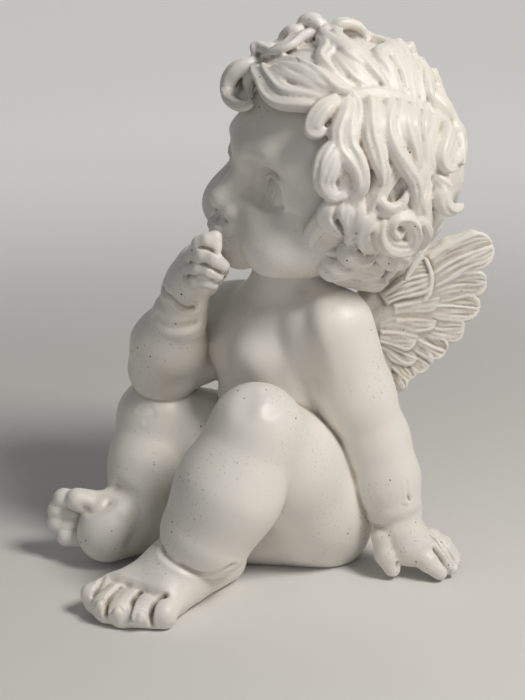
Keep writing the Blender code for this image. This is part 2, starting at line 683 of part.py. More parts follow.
def nape_locks():
    """Rows of locks that fall down the back of the head, ending in flicks to either side."""
    for lock in range(NAPE_LOCK_COUNT):
        around = NAPE_LOCK_START + NAPE_LOCK_SPREAD * lock / (NAPE_LOCK_COUNT - 1)
        for row, (top, low) in enumerate(NAPE_LOCK_ROWS):
            flick = NAPE_FLICK if (lock + row) % 2 else -NAPE_FLICK
            middle = (around - flick / 2.0, (top + low) / 2.0, NAPE_LOCK_OUT)
            yield NAPE_LOCK_WIDTH, ((around, top, 0.0), middle, (around + flick, low, NAPE_FLICK_OUT))


def add_lock(lumps, width, path):
    """A flat, tapering lock of hair laid over the scalp."""
    places = [
        scalp_point(math.radians(around), math.radians(above), out * MM) for around, above, out in path
    ]
    last = len(places) - 1
    rows = []
    for step, centre in enumerate(places):
        along = places[min(step + 1, last)] - places[max(step - 1, 0)]
        across = along.cross(centre - head_point(SKULL_SPOT)).normalized()
        taper = 1.0 - (1.0 - LOCK_TIP_SHARE) * step / last
        radius = LOCK_RADIUS * taper
        aside = across * max(0.0, width * MM * taper / 2.0 - radius)
        rows.append(ball_points(centre + aside, radius) + ball_points(centre - aside, radius))
    for start, end in zip(rows, rows[1:]):
        add_hull(lumps, start + end)


def make_hair():
    lumps = bmesh.new()
    sink = HAIR_THICKNESS - SCALP_BALL_RADIUS
    add_ball(lumps, scalp_point(0.0, math.radians(90.0), sink), SCALP_BALL_RADIUS)
    for ring in SCALP_RINGS:
        above = math.radians(ring)
        count = max(SCALP_BALLS_LEAST, round(SCALP_BALLS_ROUND * math.cos(above)))
        for step in range(count):
            around = math.radians(360.0 * step / count - 180.0)
            if above > hairline(around):
                add_ball(lumps, scalp_point(around, above, sink), SCALP_BALL_RADIUS)
    for width, path in (*FRINGE_LOCKS, *TOP_LOCKS, *SIDE_LOCKS, *right_side_locks(), *nape_locks()):
        add_lock(lumps, width, path)
    return casting("hair", lumps)


def wing_frame(side):
    """Root and spread direction of a wing; side is 1 on the left and -1 on the right."""
    back = -torso_forward
    root = CHEST + back * WING_ROOT_BACK + torso_left * (side * WING_ROOT_SIDE)
    root.z = WING_ROOT_HEIGHT
    spread = back * math.cos(WING_SWEEP) + torso_left * (side * math.sin(WING_SWEEP))
    return root, spread


def make_wing(name, side):
    root, spread = wing_frame(side)
    upright = Vector((0.0, 0.0, 1.0))
    face = spread.cross(upright)
    bend = root + spread * WING_BEND_SPREAD + upright * WING_BEND_RISE
    palm = root + spread * WING_PALM_SPREAD + upright * WING_PALM_RISE
    lumps = bmesh.new()
    add_limb(lumps, (root, WING_ROOT_RADIUS), (bend, WING_BEND_RADIUS))
    flat_axes = Matrix((spread, upright, face)).transposed()
    add_egg(lumps, palm, (WING_PALM_RADIUS, WING_PALM_RADIUS, WING_PALM_THICKNESS / 2.0), flat_axes)
    for feather in range(FEATHER_COUNT):
        share = feather / (FEATHER_COUNT - 1)
        angle = FIRST_FEATHER_ANGLE + (LAST_FEATHER_ANGLE - FIRST_FEATHER_ANGLE) * share
        length = SHORTEST_FEATHER + (LONGEST_FEATHER - SHORTEST_FEATHER) * (1.0 - share) ** FEATHER_FALL_OFF
        along = spread * math.cos(angle) + upright * math.sin(angle)
        axes = Matrix((along, face.cross(along), face)).transposed()
        half_sizes = (length / 2.0, FEATHER_WIDTH / 2.0, FEATHER_THICKNESS / 2.0)
        add_egg(lumps, palm + along * (length / 2.0), half_sizes, axes)
    return casting(name, lumps)


def make_seat_pieces(torso):
    """Levels the seat for the felt, plugs the pour hole and adds the felt pad."""
    table = Vector((PELVIS.x, PELVIS.y, TABLE_HEIGHT))
    up = Vector((0.0, 0.0, 1.0))
    felt_top = table + up * FELT_THICKNESS
    seat = felt_top + up * FIT_GAP
    under = PELVIS_HALF_WIDTH * 2.0
    cut(torso, as_cutter(rod_mesh("seat_cut", seat - up * under, seat, under)))
    plug_radius = POUR_HOLE_RADIUS - FIT_GAP
    plug = rod_mesh("seat_plug", seat, seat + up * PLUG_DEPTH, plug_radius, ROUND_SIDES)
    felt = rod_mesh("seat_felt", table, felt_top, FELT_RADIUS, ROUND_SIDES)
    return plug, felt


def make_table_cut():
    block = bmesh.new()
    middle = Vector((0.0, 0.0, TABLE_HEIGHT - TABLE_CUT_SIZE / 2.0))
    bmesh.ops.create_cube(block, size=TABLE_CUT_SIZE, matrix=Matrix.Translation(middle))
    mesh = bpy.data.meshes.new("table_cut")
    block.to_mesh(mesh)
    block.free()
    return as_cutter(link("table_cut", mesh))


def main():
    for thing in list(bpy.data.objects):
        bpy.data.objects.remove(thing)
    resin = paint("painted_resin", (0.78, 0.75, 0.70), 0.45, 0.0)
    steel = paint("dowel_steel", (0.55, 0.55, 0.56), 0.35, 1.0)
    felt_cloth = paint("seat_felt", (0.12, 0.13, 0.12), 0.95, 0.0)

    torso = make_torso()
    head = make_head()
    hair = make_hair()
    left_arm = make_arm(
        "left_arm",
        (
            (LEFT_SHOULDER, SHOULDER_RADIUS),
            (LEFT_UPPER_ARM, UPPER_ARM_RADIUS),
            (LEFT_ELBOW, ELBOW_RADIUS),
            (LEFT_FOREARM, FOREARM_RADIUS),
            (LEFT_WRIST, WRIST_RADIUS),
        ),
    )
    right_arm = make_arm(
        "right_arm",
        (
            (RIGHT_SHOULDER, SHOULDER_RADIUS),
            (RIGHT_ELBOW, ELBOW_RADIUS),
            (RIGHT_FOREARM, FOREARM_RADIUS),
            (RIGHT_WRIST, WRIST_RADIUS),
        ),
    )
    left_hand = make_left_hand()
    right_hand = make_right_hand()
    left_leg = make_left_leg()
    left_foot = make_left_foot()
    right_leg = make_right_leg()
    right_foot = make_right_foot()
    left_wing = make_wing("left_wing", 1)
    right_wing = make_wing("right_wing", -1)
    castings = [torso, head, hair, left_arm, right_arm, left_hand, right_hand]
    castings += [left_leg, left_foot, right_leg, right_foot, left_wing, right_wing]
    clear = {thing.name: clearance_of(thing) for thing in castings}

    hollow, hole = make_hollow()
    cut(torso, hollow, hole)
    plug, felt = make_seat_pieces(torso)
    cut(head, clear["torso"], make_eye_sockets())
    cut(hair, clear["head"], clear["torso"], clear["left_arm"], clear["right_arm"])
    cut(left_arm, clear["torso"])
    cut(right_arm, clear["torso"])
    cut(left_leg, clear["torso"], clear["left_arm"])
    cut(left_foot, clear["left_leg"])
    cut(left_hand, clear["left_arm"], clear["left_leg"])
    cut(right_leg, clear["torso"], clear["right_arm"], clear["left_leg"])
    cut(right_foot, clear["right_leg"], clear["left_leg"], clear["left_foot"])
    cut(right_hand, clear["right_arm"], clear["head"])
    cut(left_wing, clear["torso"], clear["left_arm"], clear["hair"])
    cut(right_wing, clear["torso"], clear["right_arm"], clear["hair"], clear["left_wing"])
    table_cut = make_table_cut()
    for thing in (left_foot, right_foot, left_hand):
        cut(thing, table_cut)

    chest_sizes = (CHEST_HALF_WIDTH, CHEST_HALF_DEPTH, CHEST_HALF_HEIGHT)
    pelvis_sizes = (PELVIS_HALF_WIDTH, PELVIS_HALF_DEPTH, PELVIS_HALF_HEIGHT)
    left_thigh = LEFT_HIP.lerp(LEFT_THIGH, LEFT_HIP_DOWEL_SHARE)
    right_thigh = RIGHT_HIP.lerp(RIGHT_KNEE, RIGHT_HIP_DOWEL_SHARE)
    neck_seam = NECK_TOP + head_up * NECK_RADIUS
    pins = [dowel("neck_dowel", neck_seam, head_up, NECK_DOWEL_RADIUS, NECK_DOWEL_REACH, torso, head)]
    for name, centre, sizes, aim, limb in (
        ("left_shoulder_dowel", CHEST, chest_sizes, LEFT_SHOULDER, left_arm),
        ("right_shoulder_dowel", CHEST, chest_sizes, RIGHT_SHOULDER, right_arm),
        ("left_hip_dowel", PELVIS, pelvis_sizes, left_thigh, left_leg),
        ("right_hip_dowel", PELVIS, pelvis_sizes, right_thigh, right_leg),
    ):
        seam = egg_surface(centre, sizes, aim)
        pins.append(dowel(name, seam, aim - centre, LIMB_DOWEL_RADIUS, LIMB_DOWEL_REACH, torso, limb))
    for name, end, radius, aim, limb, tip in (
        ("left_wrist_dowel", LEFT_WRIST, WRIST_RADIUS, LEFT_PALM, left_arm, left_hand),
        ("right_wrist_dowel", RIGHT_WRIST, WRIST_RADIUS, RIGHT_PALM, right_arm, right_hand),
        ("left_ankle_dowel", LEFT_ANKLE, ANKLE_RADIUS, LEFT_INSTEP, left_leg, left_foot),
        ("right_ankle_dowel", RIGHT_ANKLE, RIGHT_ANKLE_RADIUS, RIGHT_FOOT_BALL, right_leg, right_foot),
    ):
        along = (aim - end).normalized()
        seam = end + along * radius
        pins.append(dowel(name, seam, along, WRIST_DOWEL_RADIUS, WRIST_DOWEL_REACH, limb, tip))
    for name, side, wing in (("left_wing_dowel", 1, left_wing), ("right_wing_dowel", -1, right_wing)):
        root, spread = wing_frame(side)
        pins.append(dowel(name, root, spread, WING_DOWEL_RADIUS, WING_DOWEL_REACH, torso, wing))

    for pin in pins:
        finish(pin, steel)
    for thing in castings:
        finish(thing, resin)
    finish(felt, felt_cloth)
    finish(plug, resin)


main()
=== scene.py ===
"""Seated baby angel figurine, sculpted round the frame and painted as cast resin.

Sculpting sizes are in millimetres, in the frame's own axes unless a comment says otherwise.
"""

import math

import bmesh
import bpy
import numpy as np
import openvdb
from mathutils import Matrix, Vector


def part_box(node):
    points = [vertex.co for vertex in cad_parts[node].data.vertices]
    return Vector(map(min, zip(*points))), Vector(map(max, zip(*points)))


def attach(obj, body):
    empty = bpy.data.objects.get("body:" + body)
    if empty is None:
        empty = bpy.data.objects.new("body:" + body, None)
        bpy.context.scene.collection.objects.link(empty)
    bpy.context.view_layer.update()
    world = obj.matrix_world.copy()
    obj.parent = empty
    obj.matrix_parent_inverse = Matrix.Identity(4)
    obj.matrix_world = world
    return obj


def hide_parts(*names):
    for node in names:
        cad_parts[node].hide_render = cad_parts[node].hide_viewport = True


bl_info = {
    "name": "Seated Angel Figurine",
    "version": (1, 0, 0),
    "blender": (4, 5, 0),
    "location": "View3D > Sidebar > Figurine",
    "description": "Models and paints a seated baby angel in cast resin",
    "category": "Object",
}

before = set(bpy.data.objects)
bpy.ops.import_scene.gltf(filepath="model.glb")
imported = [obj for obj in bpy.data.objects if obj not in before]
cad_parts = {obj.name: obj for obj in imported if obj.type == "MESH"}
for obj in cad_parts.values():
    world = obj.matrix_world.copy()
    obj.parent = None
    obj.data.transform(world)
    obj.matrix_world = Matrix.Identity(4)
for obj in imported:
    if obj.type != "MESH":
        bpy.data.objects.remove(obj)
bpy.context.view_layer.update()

MM = 0.001
FAR = 40.0
TRIANGLE_LIMIT = 180000
BODY = "root"

# Torso: eggs of centre and half sizes across, front to back and upright
TORSO_TURN = math.radians(50.0)
TORSO_EGGS = (
    ((0.0, 0.0, 25.0), (32.5, 27.5, 29.0)),
    ((-9.0, -3.0, 60.0), (29.5, 27.0, 29.0)),
    ((-11.0, -1.0, 92.0), (30.5, 24.5, 25.5)),
)
NECK = ((-9.0, -2.0, 106.0, 17.0), (-4.0, -4.0, 130.0, 16.5))
LEFT_COLLAR = ((-9.0, -2.0, 109.0, 11.0), (2.0, -15.0, 108.0, 12.0))
RIGHT_COLLAR = ((-9.0, -2.0, 109.0, 10.0), (-23.0, 13.0, 104.0, 11.0))
LEFT_BREAST = (-22.0, -20.0, 92.0, 8.0)
RIGHT_BREAST = (-31.0, -5.0, 92.0, 8.0)

# Limbs: stations of x, y, z and radius
LEFT_ARM = (
    (10.0, -23.5, 104.0, 17.0),
    (20.0, -22.0, 75.0, 15.6),
    (28.0, -20.5, 56.0, 14.2),
    (33.0, -22.5, 40.0, 13.8),
    (36.5, -26.0, 28.5, 11.6),
)
RIGHT_ARM = (
    (-30.0, 21.0, 98.0, 17.0),
    (-46.0, 12.0, 88.0, 15.5),
    (-60.0, 2.0, 81.0, 14.2),
    (-57.5, -6.0, 93.0, 14.8),
    (-52.5, -14.5, 105.0, 11.8),
)
RIGHT_WRIST_ROLL = ((-51.2, -16.6, 109.4, 11.2), (-49.2, -19.0, 114.6, 9.6))
LEFT_THIGH = ((3.0, -16.5, 27.0, 24.0), (-9.0, -31.0, 49.0, 22.0), (-20.5, -48.0, 69.0, 18.0))
LEFT_HAM = ((-22.0, -10.0, 15.0, 18.0), (9.0, -10.0, 15.0, 20.0))
LEFT_SHIN = (
    (-20.5, -48.0, 69.0, 17.8),
    (-31.0, -53.0, 46.0, 20.5),
    (-39.5, -53.5, 29.0, 18.8),
)
LEFT_KNEE = (-20.5, -48.0, 69.0)
RIGHT_THIGH = ((-17.0, 22.0, 27.0, 25.0), (-42.0, 14.0, 44.0, 21.5), (-63.0, 7.0, 57.0, 18.0))
RIGHT_SHIN = ((-63.0, 7.0, 57.0, 17.6), (-68.0, -1.0, 40.0, 15.5), (-72.0, -6.0, 27.0, 13.2))
RIGHT_KNEE = (-63.0, 7.0, 57.0)

# Left hand, spread on the table
LEFT_PALM = ((37.5, -27.5, 23.0, 9.6), (42.5, -29.0, 14.0, 9.0), (50.0, -28.0, 10.0, 7.4))
LEFT_FINGERS = (
    ((45.5, -32.0, 11.5, 5.4), (50.0, -35.0, 8.2, 4.4), (54.6, -37.0, 4.4, 3.4)),
    ((50.4, -29.0, 13.4, 4.2), (55.4, -32.0, 9.6, 3.4), (60.0, -33.5, 4.4, 2.8)),
    ((52.6, -25.5, 15.0, 3.8), (58.4, -27.5, 10.6, 3.0), (62.6, -29.0, 5.0, 2.6)),
    ((51.6, -21.5, 14.4, 3.4), (58.6, -22.0, 11.0, 2.8), (63.6, -23.0, 5.4, 2.2)),
)
LEFT_THUMB = ((32.6, -30.5, 18.0, 5.8), (33.4, -33.0, 10.6, 5.2), (35.4, -34.6, 5.0, 3.6))
LEFT_PALM_HOLLOW = ((40.0, -45.0, 3.0, 7.4), (55.0, -51.0, -7.0, 7.4))

# Right hand, a loose fist with the first finger at the lips
RIGHT_FIST = ((-50.4, -21.0, 117.4, 8.2), (-47.4, -20.5, 122.0, 9.0), (-43.4, -22.0, 129.0, 9.2))
RIGHT_FINGERS = (
    (
        (-44.0, -29.0, 136.2, 3.3), (-42.1, -35.0, 140.0, 3.1), (-38.9, -37.0, 141.6, 3.0),
        (-36.0, -37.0, 142.9, 2.3), (-35.6, -38.2, 139.0, 2.3),
    ),
    (
        (-45.2, -29.0, 133.4, 3.3), (-40.9, -37.0, 135.8, 3.1), (-36.6, -39.0, 134.8, 3.0),
        (-32.9, -37.0, 131.7, 2.5),
    ),
    (
        (-46.5, -28.0, 128.5, 3.2), (-42.6, -36.0, 130.5, 2.9), (-38.6, -38.0, 129.9, 2.8),
        (-35.2, -36.0, 127.6, 2.3),
    ),
    (
        (-47.5, -27.0, 123.5, 3.0), (-43.9, -34.5, 125.3, 2.7), (-40.3, -36.0, 125.4, 2.6),
        (-37.3, -34.5, 123.7, 2.2),
    ),
)
RIGHT_THUMB = ((-39.5, -20.0, 121.0, 4.2), (-34.6, -20.0, 126.6, 3.2))

# Left foot, flat on the table
LEFT_FOOT_BONES = (
    ((-35.0, -36.0, 10.5, 9.5), (-51.0, -57.0, 15.0, 12.4)),
    ((-35.0, -36.0, 9.5, 8.8), (-55.0, -68.0, 8.0, 7.4)),
    ((-51.0, -57.0, 15.0, 12.4), (-75.0, -61.5, 8.0, 5.4)),
    ((-75.0, -61.5, 8.0, 5.4), (-55.0, -68.0, 8.0, 7.4)),
)
LEFT_TOES = (
    ((-76.3, -62.0, 9.6, 4.6), (-84.3, -66.5, 8.6, 4.2)),
    ((-72.7, -66.0, 9.8, 4.3), (-78.7, -73.2, 7.6, 4.1)),
    ((-67.0, -69.5, 9.2, 4.4), (-72.4, -77.2, 6.8, 4.1)),
    ((-60.3, -71.5, 8.4, 4.6), (-64.4, -79.7, 6.2, 4.3)),
    ((-52.6, -71.5, 8.0, 5.2), (-55.0, -78.5, 6.2, 5.0)),
)
LEFT_TOE_PAD = (
    (-83.0, -67.5, 5.6, 4.2), (-77.7, -73.5, 4.4, 4.0), (-70.9, -77.0, 3.9, 3.9), (-55.0, -78.5, 4.2, 4.2),
)

# Right foot, on its outer edge with the sole towards the left foot
RIGHT_FOOT_BONES = (
    ((-72.5, -6.5, 23.0, 12.6), (-65.0, -3.0, 13.0, 12.0)),
    ((-65.0, -3.0, 13.0, 12.0), (-83.5, -18.5, 14.5, 13.0)),
    ((-73.0, -11.0, 25.0, 6.0), (-86.0, -15.0, 24.5, 6.2)),
)
RIGHT_TOES = (
    ((-86.0, -15.5, 25.0, 6.0), (-96.0, -17.5, 28.5, 5.0)),
    ((-93.0, -11.0, 24.0, 5.0), (-102.5, -14.0, 27.5, 4.6)),
    ((-94.5, -11.0, 20.0, 5.0), (-105.0, -13.5, 22.5, 4.6)),
    ((-94.5, -12.0, 15.0, 4.8), (-105.5, -14.0, 17.0, 4.4)),
    ((-92.0, -14.0, 10.5, 4.6), (-101.5, -16.0, 11.0, 4.2)),
)

# Joints where one piece flows into the next: centre, reach and how round the meeting is
JOINTS = {
    "left_arm": ((4.0, -18.0, 104.0), 26.0, 11.0),
    "right_arm": ((-27.0, 18.0, 99.0), 24.0, 10.0),
    "left_leg": ((2.0, -12.0, 34.0), 26.0, 6.0),
    "right_leg": ((-16.0, 18.0, 32.0), 26.0, 6.0),
    "left_hand": ((37.0, -27.0, 24.0), 10.0, 1.4),
    "right_hand": ((-47.5, -21.0, 119.0), 10.0, 1.2),
    "left_foot": ((-44.0, -54.0, 22.0), 20.0, 1.6),
    "right_foot": ((-72.0, -6.0, 22.0), 14.0, 4.0),
}
CONTACT_BLEND = 0.9
NODE_MARGIN = 6.0
TABLE_GAP = 0.05
KNEE_REACH = 16.0
KNUCKLE_REACH = 8.0
SKIN_FOLD_ROUNDS = 24

# How round the clay is where forms meet
BLEND = {
    "torso": 16.0,
    "breast": 9.0,
    "neck": 8.0,
    "collar": 9.0,
    "arm": 5.0,
    "wrist roll": 1.2,
    "leg": 6.0,
    "ham": 7.0,
    "knee": 8.0,
    "behind the knee": 1.6,
    "palm": 4.0,
    "digit": 1.5,
    "knuckles": 3.0,
    "between fingers": 0.7,
    "palm hollow": 0.8,
    "foot": 6.0,
    "toe pad": 2.0,
    "toe": 1.1,
    "skull": 1.0,
    "jaw": 12.0,
    "chin": 8.0,
    "cheek": 10.0,
    "cheekbone": 8.0,
    "brow": 7.0,
    "eye socket": 5.0,
    "eye corner": 2.5,
    "muzzle": 7.0,
    "nose": 3.5,
    "nose wing": 1.8,
    "lip": 1.4,
    "nostril": 0.5,
    "eyelid": 0.6,
    "eyeball": 0.3,
    "scalp": 1.0,
    "wing": 1.5,
    "wing rim": 0.8,
}

# Strokes pressed into the skin: width, depth and the points that the stroke runs through
SKIN_STROKES = (
    (2.0, 0.7, ((-15.9, -53.4, 85.0), (-13.6, -56.0, 82.8), (-13.6, -58.6, 80.6), (-16.2, -60.6, 79.4))),
    (3.5, 0.6, ((-23.5, -57.5, 84.0), (-24.5, -61.5, 80.0))),
    (1.2, 0.35, ((-70.1, -8.2, 65.0), (-65.4, -9.0, 66.1), (-64.0, -10.5, 63.1), (-67.0, -10.8, 61.0))),
    (3.0, 1.0, ((-34.0, -19.0, 66.0), (-34.5, -19.5, 63.0))),
    (4.0, 0.9, ((6.0, 18.0, 30.0), (14.0, 26.0, 16.0), (16.0, 29.0, 4.0))),
    (5.0, 1.2, ((-24.0, -9.0, 112.0), (-9.7, -20.5, 113.0), (2.4, -22.5, 115.0))),
    (4.5, 1.6, (
        (-1.9, -24.5, 119.0), (-2.4, -31.3, 113.1), (-2.1, -35.3, 105.9), (-0.6, -35.8, 98.0),
        (1.4, -34.5, 85.0),
    )),
    (0.8, 0.8, ((39.8, -34.5, 42.7), (40.4, -35.0, 38.6), (41.6, -35.2, 34.8))),
    (1.0, -0.5, ((39.6, -36.0, 34.4), (41.2, -35.6, 34.2))),
    (2.4, 0.8, (
        (28.0, -31.5, 21.6), (33.0, -36.4, 24.2), (38.7, -37.2, 26.3), (42.9, -35.6, 27.8),
        (46.7, -31.5, 28.4),
    )),
    (0.8, 1.1, ((51.5, -31.6, 18.3), (54.6, -31.2, 15.3), (57.2, -34.0, 12.2), (61.3, -35.2, 6.1))),
    (0.8, 1.1, ((52.5, -34.5, 13.3), (54.9, -36.0, 10.0), (57.0, -36.8, 6.8), (58.6, -37.0, 3.6))),
    (0.7, 0.9, ((37.2, -37.1, 8.3), (37.3, -37.2, 3.4))),
    (0.7, 0.8, (
        (-45.7, -33.5, 137.3), (-41.9, -38.4, 139.3), (-38.2, -40.0, 138.6), (-35.0, -41.0, 136.7),
    )),
    (0.7, 0.8, (
        (-46.2, -33.3, 132.6), (-40.0, -39.8, 133.0), (-36.2, -40.0, 130.7), (-33.6, -38.0, 129.0),
    )),
    (0.7, 0.8, ((-47.1, -32.6, 126.9), (-42.0, -39.1, 128.5), (-37.1, -38.2, 126.4))),
    (1.3, 1.3, (
        (-58.1, -22.5, 120.6), (-54.6, -28.2, 117.7), (-51.4, -29.0, 115.0), (-48.3, -28.6, 113.3),
        (-45.2, -27.6, 113.1),
    )),
    (1.8, 0.8, (
        (-60.3, -23.2, 108.9), (-57.0, -25.8, 105.8), (-50.9, -26.8, 104.8), (-45.0, -24.8, 106.0),
    )),
    (1.3, 0.8, (
        (-57.5, -63.5, 26.6), (-55.4, -65.9, 24.4), (-49.5, -69.3, 21.3), (-40.0, -68.4, 17.6),
        (-29.7, -67.0, 20.3),
    )),
    (2.8, 0.9, (
        (-79.0, -15.7, 33.4), (-73.3, -19.0, 30.1), (-69.9, -20.4, 24.4), (-70.2, -23.2, 17.9),
        (-73.3, -26.6, 12.6),
    )),
    (1.8, 0.8, ((-92.7, -22.0, 26.4), (-89.1, -23.9, 25.4), (-84.9, -24.0, 26.7), (-81.9, -21.3, 28.3))),
    (1.5, 0.8, ((-78.0, -62.9, 14.3), (-72.9, -67.1, 14.1), (-64.8, -71.5, 12.8), (-54.9, -76.0, 11.9))),
    (0.9, 1.1, ((-80.1, -62.4, 13.4), (-80.6, -67.2, 12.5), (-82.6, -70.5, 9.5))),
    (0.9, 1.3, ((-72.6, -69.6, 12.8), (-75.3, -73.4, 11.2), (-76.9, -76.8, 8.7), (-77.1, -78.3, 5.4))),
    (0.9, 1.3, ((-64.7, -72.6, 11.7), (-66.7, -75.6, 10.2), (-67.3, -80.6, 8.9), (-67.6, -82.0, 5.8))),
    (0.9, 1.5, (
        (-54.9, -75.6, 11.9), (-57.5, -76.8, 10.8), (-59.2, -79.3, 9.1), (-59.8, -81.6, 6.6),
        (-59.5, -82.1, 3.1),
    )),
    (0.6, 0.6, ((-82.0, -75.6, 8.2), (-80.8, -75.5, 10.2), (-78.8, -76.1, 10.5), (-77.6, -76.9, 8.8))),
    (0.6, 0.6, ((-75.0, -80.2, 7.5), (-73.8, -79.9, 9.4), (-71.9, -80.1, 9.5), (-70.8, -80.7, 8.2))),
    (0.6, 0.6, ((-65.6, -83.7, 7.2), (-64.5, -83.0, 8.9), (-62.7, -82.7, 8.7), (-61.6, -82.8, 7.2))),
    (1.4, -0.4, ((-79.9, -76.7, 9.1), (-79.5, -77.2, 7.7))),
    (1.4, -0.4, ((-72.6, -80.9, 8.3), (-72.6, -81.3, 6.8))),
    (1.4, -0.4, ((-63.4, -83.6, 7.6), (-63.7, -83.9, 6.1))),
)

# Head: places are left, forward and up from its centre
HEAD_CENTRE = (9.0, -5.0, 163.0)
HEAD_TURN = math.radians(54.0)
HEAD_TILT_UP = math.radians(4.0)
HEAD_LEAN = math.radians(17.0)
FACE_TURN = math.radians(10.0)
SKULL = ((0.0, 0.0, 6.0), (40.0, 43.0, 41.0))
JAW = ((0.0, 10.0, -14.0), (33.0, 30.0, 22.0))
CHEEK = (22.0, 29.5, -23.0, 12.0)
CHEEKBONE = (22.0, 16.0, -18.0, 12.0)
JOWL = (15.0, 14.0, -22.0, 12.0)
CHIN = (0.0, 31.5, -32.8, 9.5)
BROW = ((4.0, 39.0, 8.5, 3.2), (14.0, 34.4, 10.0, 3.4), (24.0, 26.5, 6.5, 3.0))
EYE_SOCKET = ((17.5, 41.5, -1.6), (14.5, 10.0, 8.8))
EYEBALL = (18.8, 23.8, -1.8, 10.8)
UPPER_LID = 2.2
LOWER_LID = 0.7
EYE_INNER = (11.6, -1.0)
EYE_OUTER = (27.2, -6.0)
EYE_TOP = (18.8, 3.6)
EYE_BOTTOM = (18.0, -7.2)
IRIS_RADIUS = 3.1
PUPIL_RADIUS = 1.1
NOSE_BRIDGE = ((0.0, 36.6, 5.5, 3.0), (0.0, 39.4, -4.0, 3.6), (0.0, 45.2, -12.8, 4.8))
NOSE_WING = (5.2, 42.6, -15.8, 3.7)
NOSTRIL = ((2.4, 46.0, -17.6, 1.3), (5.8, 42.6, -19.7, 1.1))
EYE_CORNER = ((9.8, 39.0, -2.4), (3.0, 4.8, 5.0))
MUZZLE = ((0.0, 36.5, -25.0), (12.5, 8.5, 10.0))
UPPER_LIP = ((0.0, 45.0, -24.8, 2.3), (2.6, 44.8, -24.4, 2.2), (6.8, 41.6, -27.6, 1.3))
LOWER_LIP = ((0.0, 43.8, -30.4, 3.0), (5.8, 41.2, -28.8, 1.4))
HEAD_BLOCK = ((-46.0, -46.0, -48.0), (46.0, 56.0, 50.0))
HEAD_FOLD_ROUNDS = 50
HEAD_FOLD_SHARE = 0.6
FACE_STROKES = (
    (0.9, 1.2, (
        (-7.2, 41.8, -28.6), (-3.0, 45.4, -27.0), (0.0, 46.4, -27.4), (3.0, 45.4, -27.0),
        (7.2, 41.8, -28.6),
    )),
    (1.6, 0.6, ((0.0, 45.2, -20.4), (0.0, 46.0, -23.2))),
    (3.2, 0.8, ((-5.0, 40.6, -33.6), (0.0, 41.8, -34.0), (5.0, 40.6, -33.6))),
)
CHEEK_STROKES = (
    (2.2, 0.8, ((7.8, 41.0, -28.4), (8.4, 40.4, -30.0))),
    (3.4, 0.7, ((9.0, 40.0, -16.0), (11.0, 39.4, -21.6), (11.2, 38.6, -27.0))),
    (1.3, 1.1, (
        (11.2, 36.5, 2.0), (15.0, 36.5, 5.6), (20.0, 34.5, 6.6), (25.0, 30.0, 3.4), (28.8, 26.0, -3.2),
    )),
    (1.6, 1.0, ((10.4, 36.4, 0.6), (10.6, 36.0, -2.6))),
    (2.0, 0.6, ((12.5, 36.5, -6.0), (17.0, 35.0, -10.2), (24.0, 31.0, -9.6))),
)

# Hair: a lock is its width, its thickness and points of turn to the left, rise and lift off the skull,
# with turn and rise in degrees
HAIR_BLOCK = ((-62.0, -66.0, -52.0), (62.0, 64.0, 66.0))
HAIR_SEED = 7
HAIR_SINK = 1.2
HAIR_FOLD_ROUNDS = 16
SCALP_LIFT = 4.0
LEFT_TEMPLE = 56.0
RIGHT_TEMPLE = 62.0
TEMPLE_SPAN = 10.0
BROW_HAIRLINE = 40.0
NAPE_HAIRLINE = -58.0
NAPE_BEND = -15.0
NAPE_DROP = 0.78
NAPE_TUCK = 0.0055
FRINGE_LOCKS = (
    (6.0, 6.0, (
        (-35, 39, 8.5), (-31, 36, 10), (-30, 31, 11.5), (-30, 25, 11), (-28, 21, 9), (-21, 20, 7),
        (-8, 22, 5),
        (-1, 25, 4.5), (1, 28, 4),
    )),
    (14.0, 4.0, ((-34, 41, 6.5), (-33, 32, 6), (-30, 27, 3.5), (-11, 27, 2))),
    (9.0, 6.0, (
        (53, 45, 4), (43, 41, 5), (33, 38, 6), (22, 35, 6.5), (11, 36, 7), (-1, 38, 8), (-26, 39, 8.5),
    )),
    (4.5, 5.0, ((49, 43, 6), (34, 41, 7), (23, 39, 8), (9, 41, 8.5), (-13, 43, 9))),
    (4.5, 5.0, ((54, 45, 6), (43, 45, 7), (31, 45, 8.5), (18, 45, 9), (0, 45, 9.5))),
    (4.5, 5.0, ((56, 48, 6.5), (45, 48, 8), (33, 48, 9), (19, 49, 9.5), (5, 48, 10))),
    (4.5, 5.0, ((60, 50, 6.5), (51, 49, 8), (40, 51, 9), (28, 53, 9.5), (13, 54, 10))),
    (20.0, 6.0, ((56, 51, 4), (35, 52, 5), (10, 52, 6), (-35, 43, 7))),
)
FAR_LOCKS = (
    (12.0, 7.0, ((-30, 46, 5), (-44, 42, 8), (-46, 34, 9), (-44, 26, 8.5), (-34, 21, 6))),
    (16.0, 8.0, ((-80, 66, 7), (-60, 60, 8), (-46, 52, 8.5), (-36, 46, 8), (-28, 42, 7))),
    (9.0, 6.0, ((-24, 40, 5), (-36, 38, 8), (-38, 31, 8.5), (-36, 25, 7.5), (-26, 21, 5))),
    (18.0, 8.0, ((-150, 72, 7), (-120, 74, 8), (-90, 72, 9.5), (-66, 66, 10), (-52, 58, 10), (-44, 50, 9))),
)
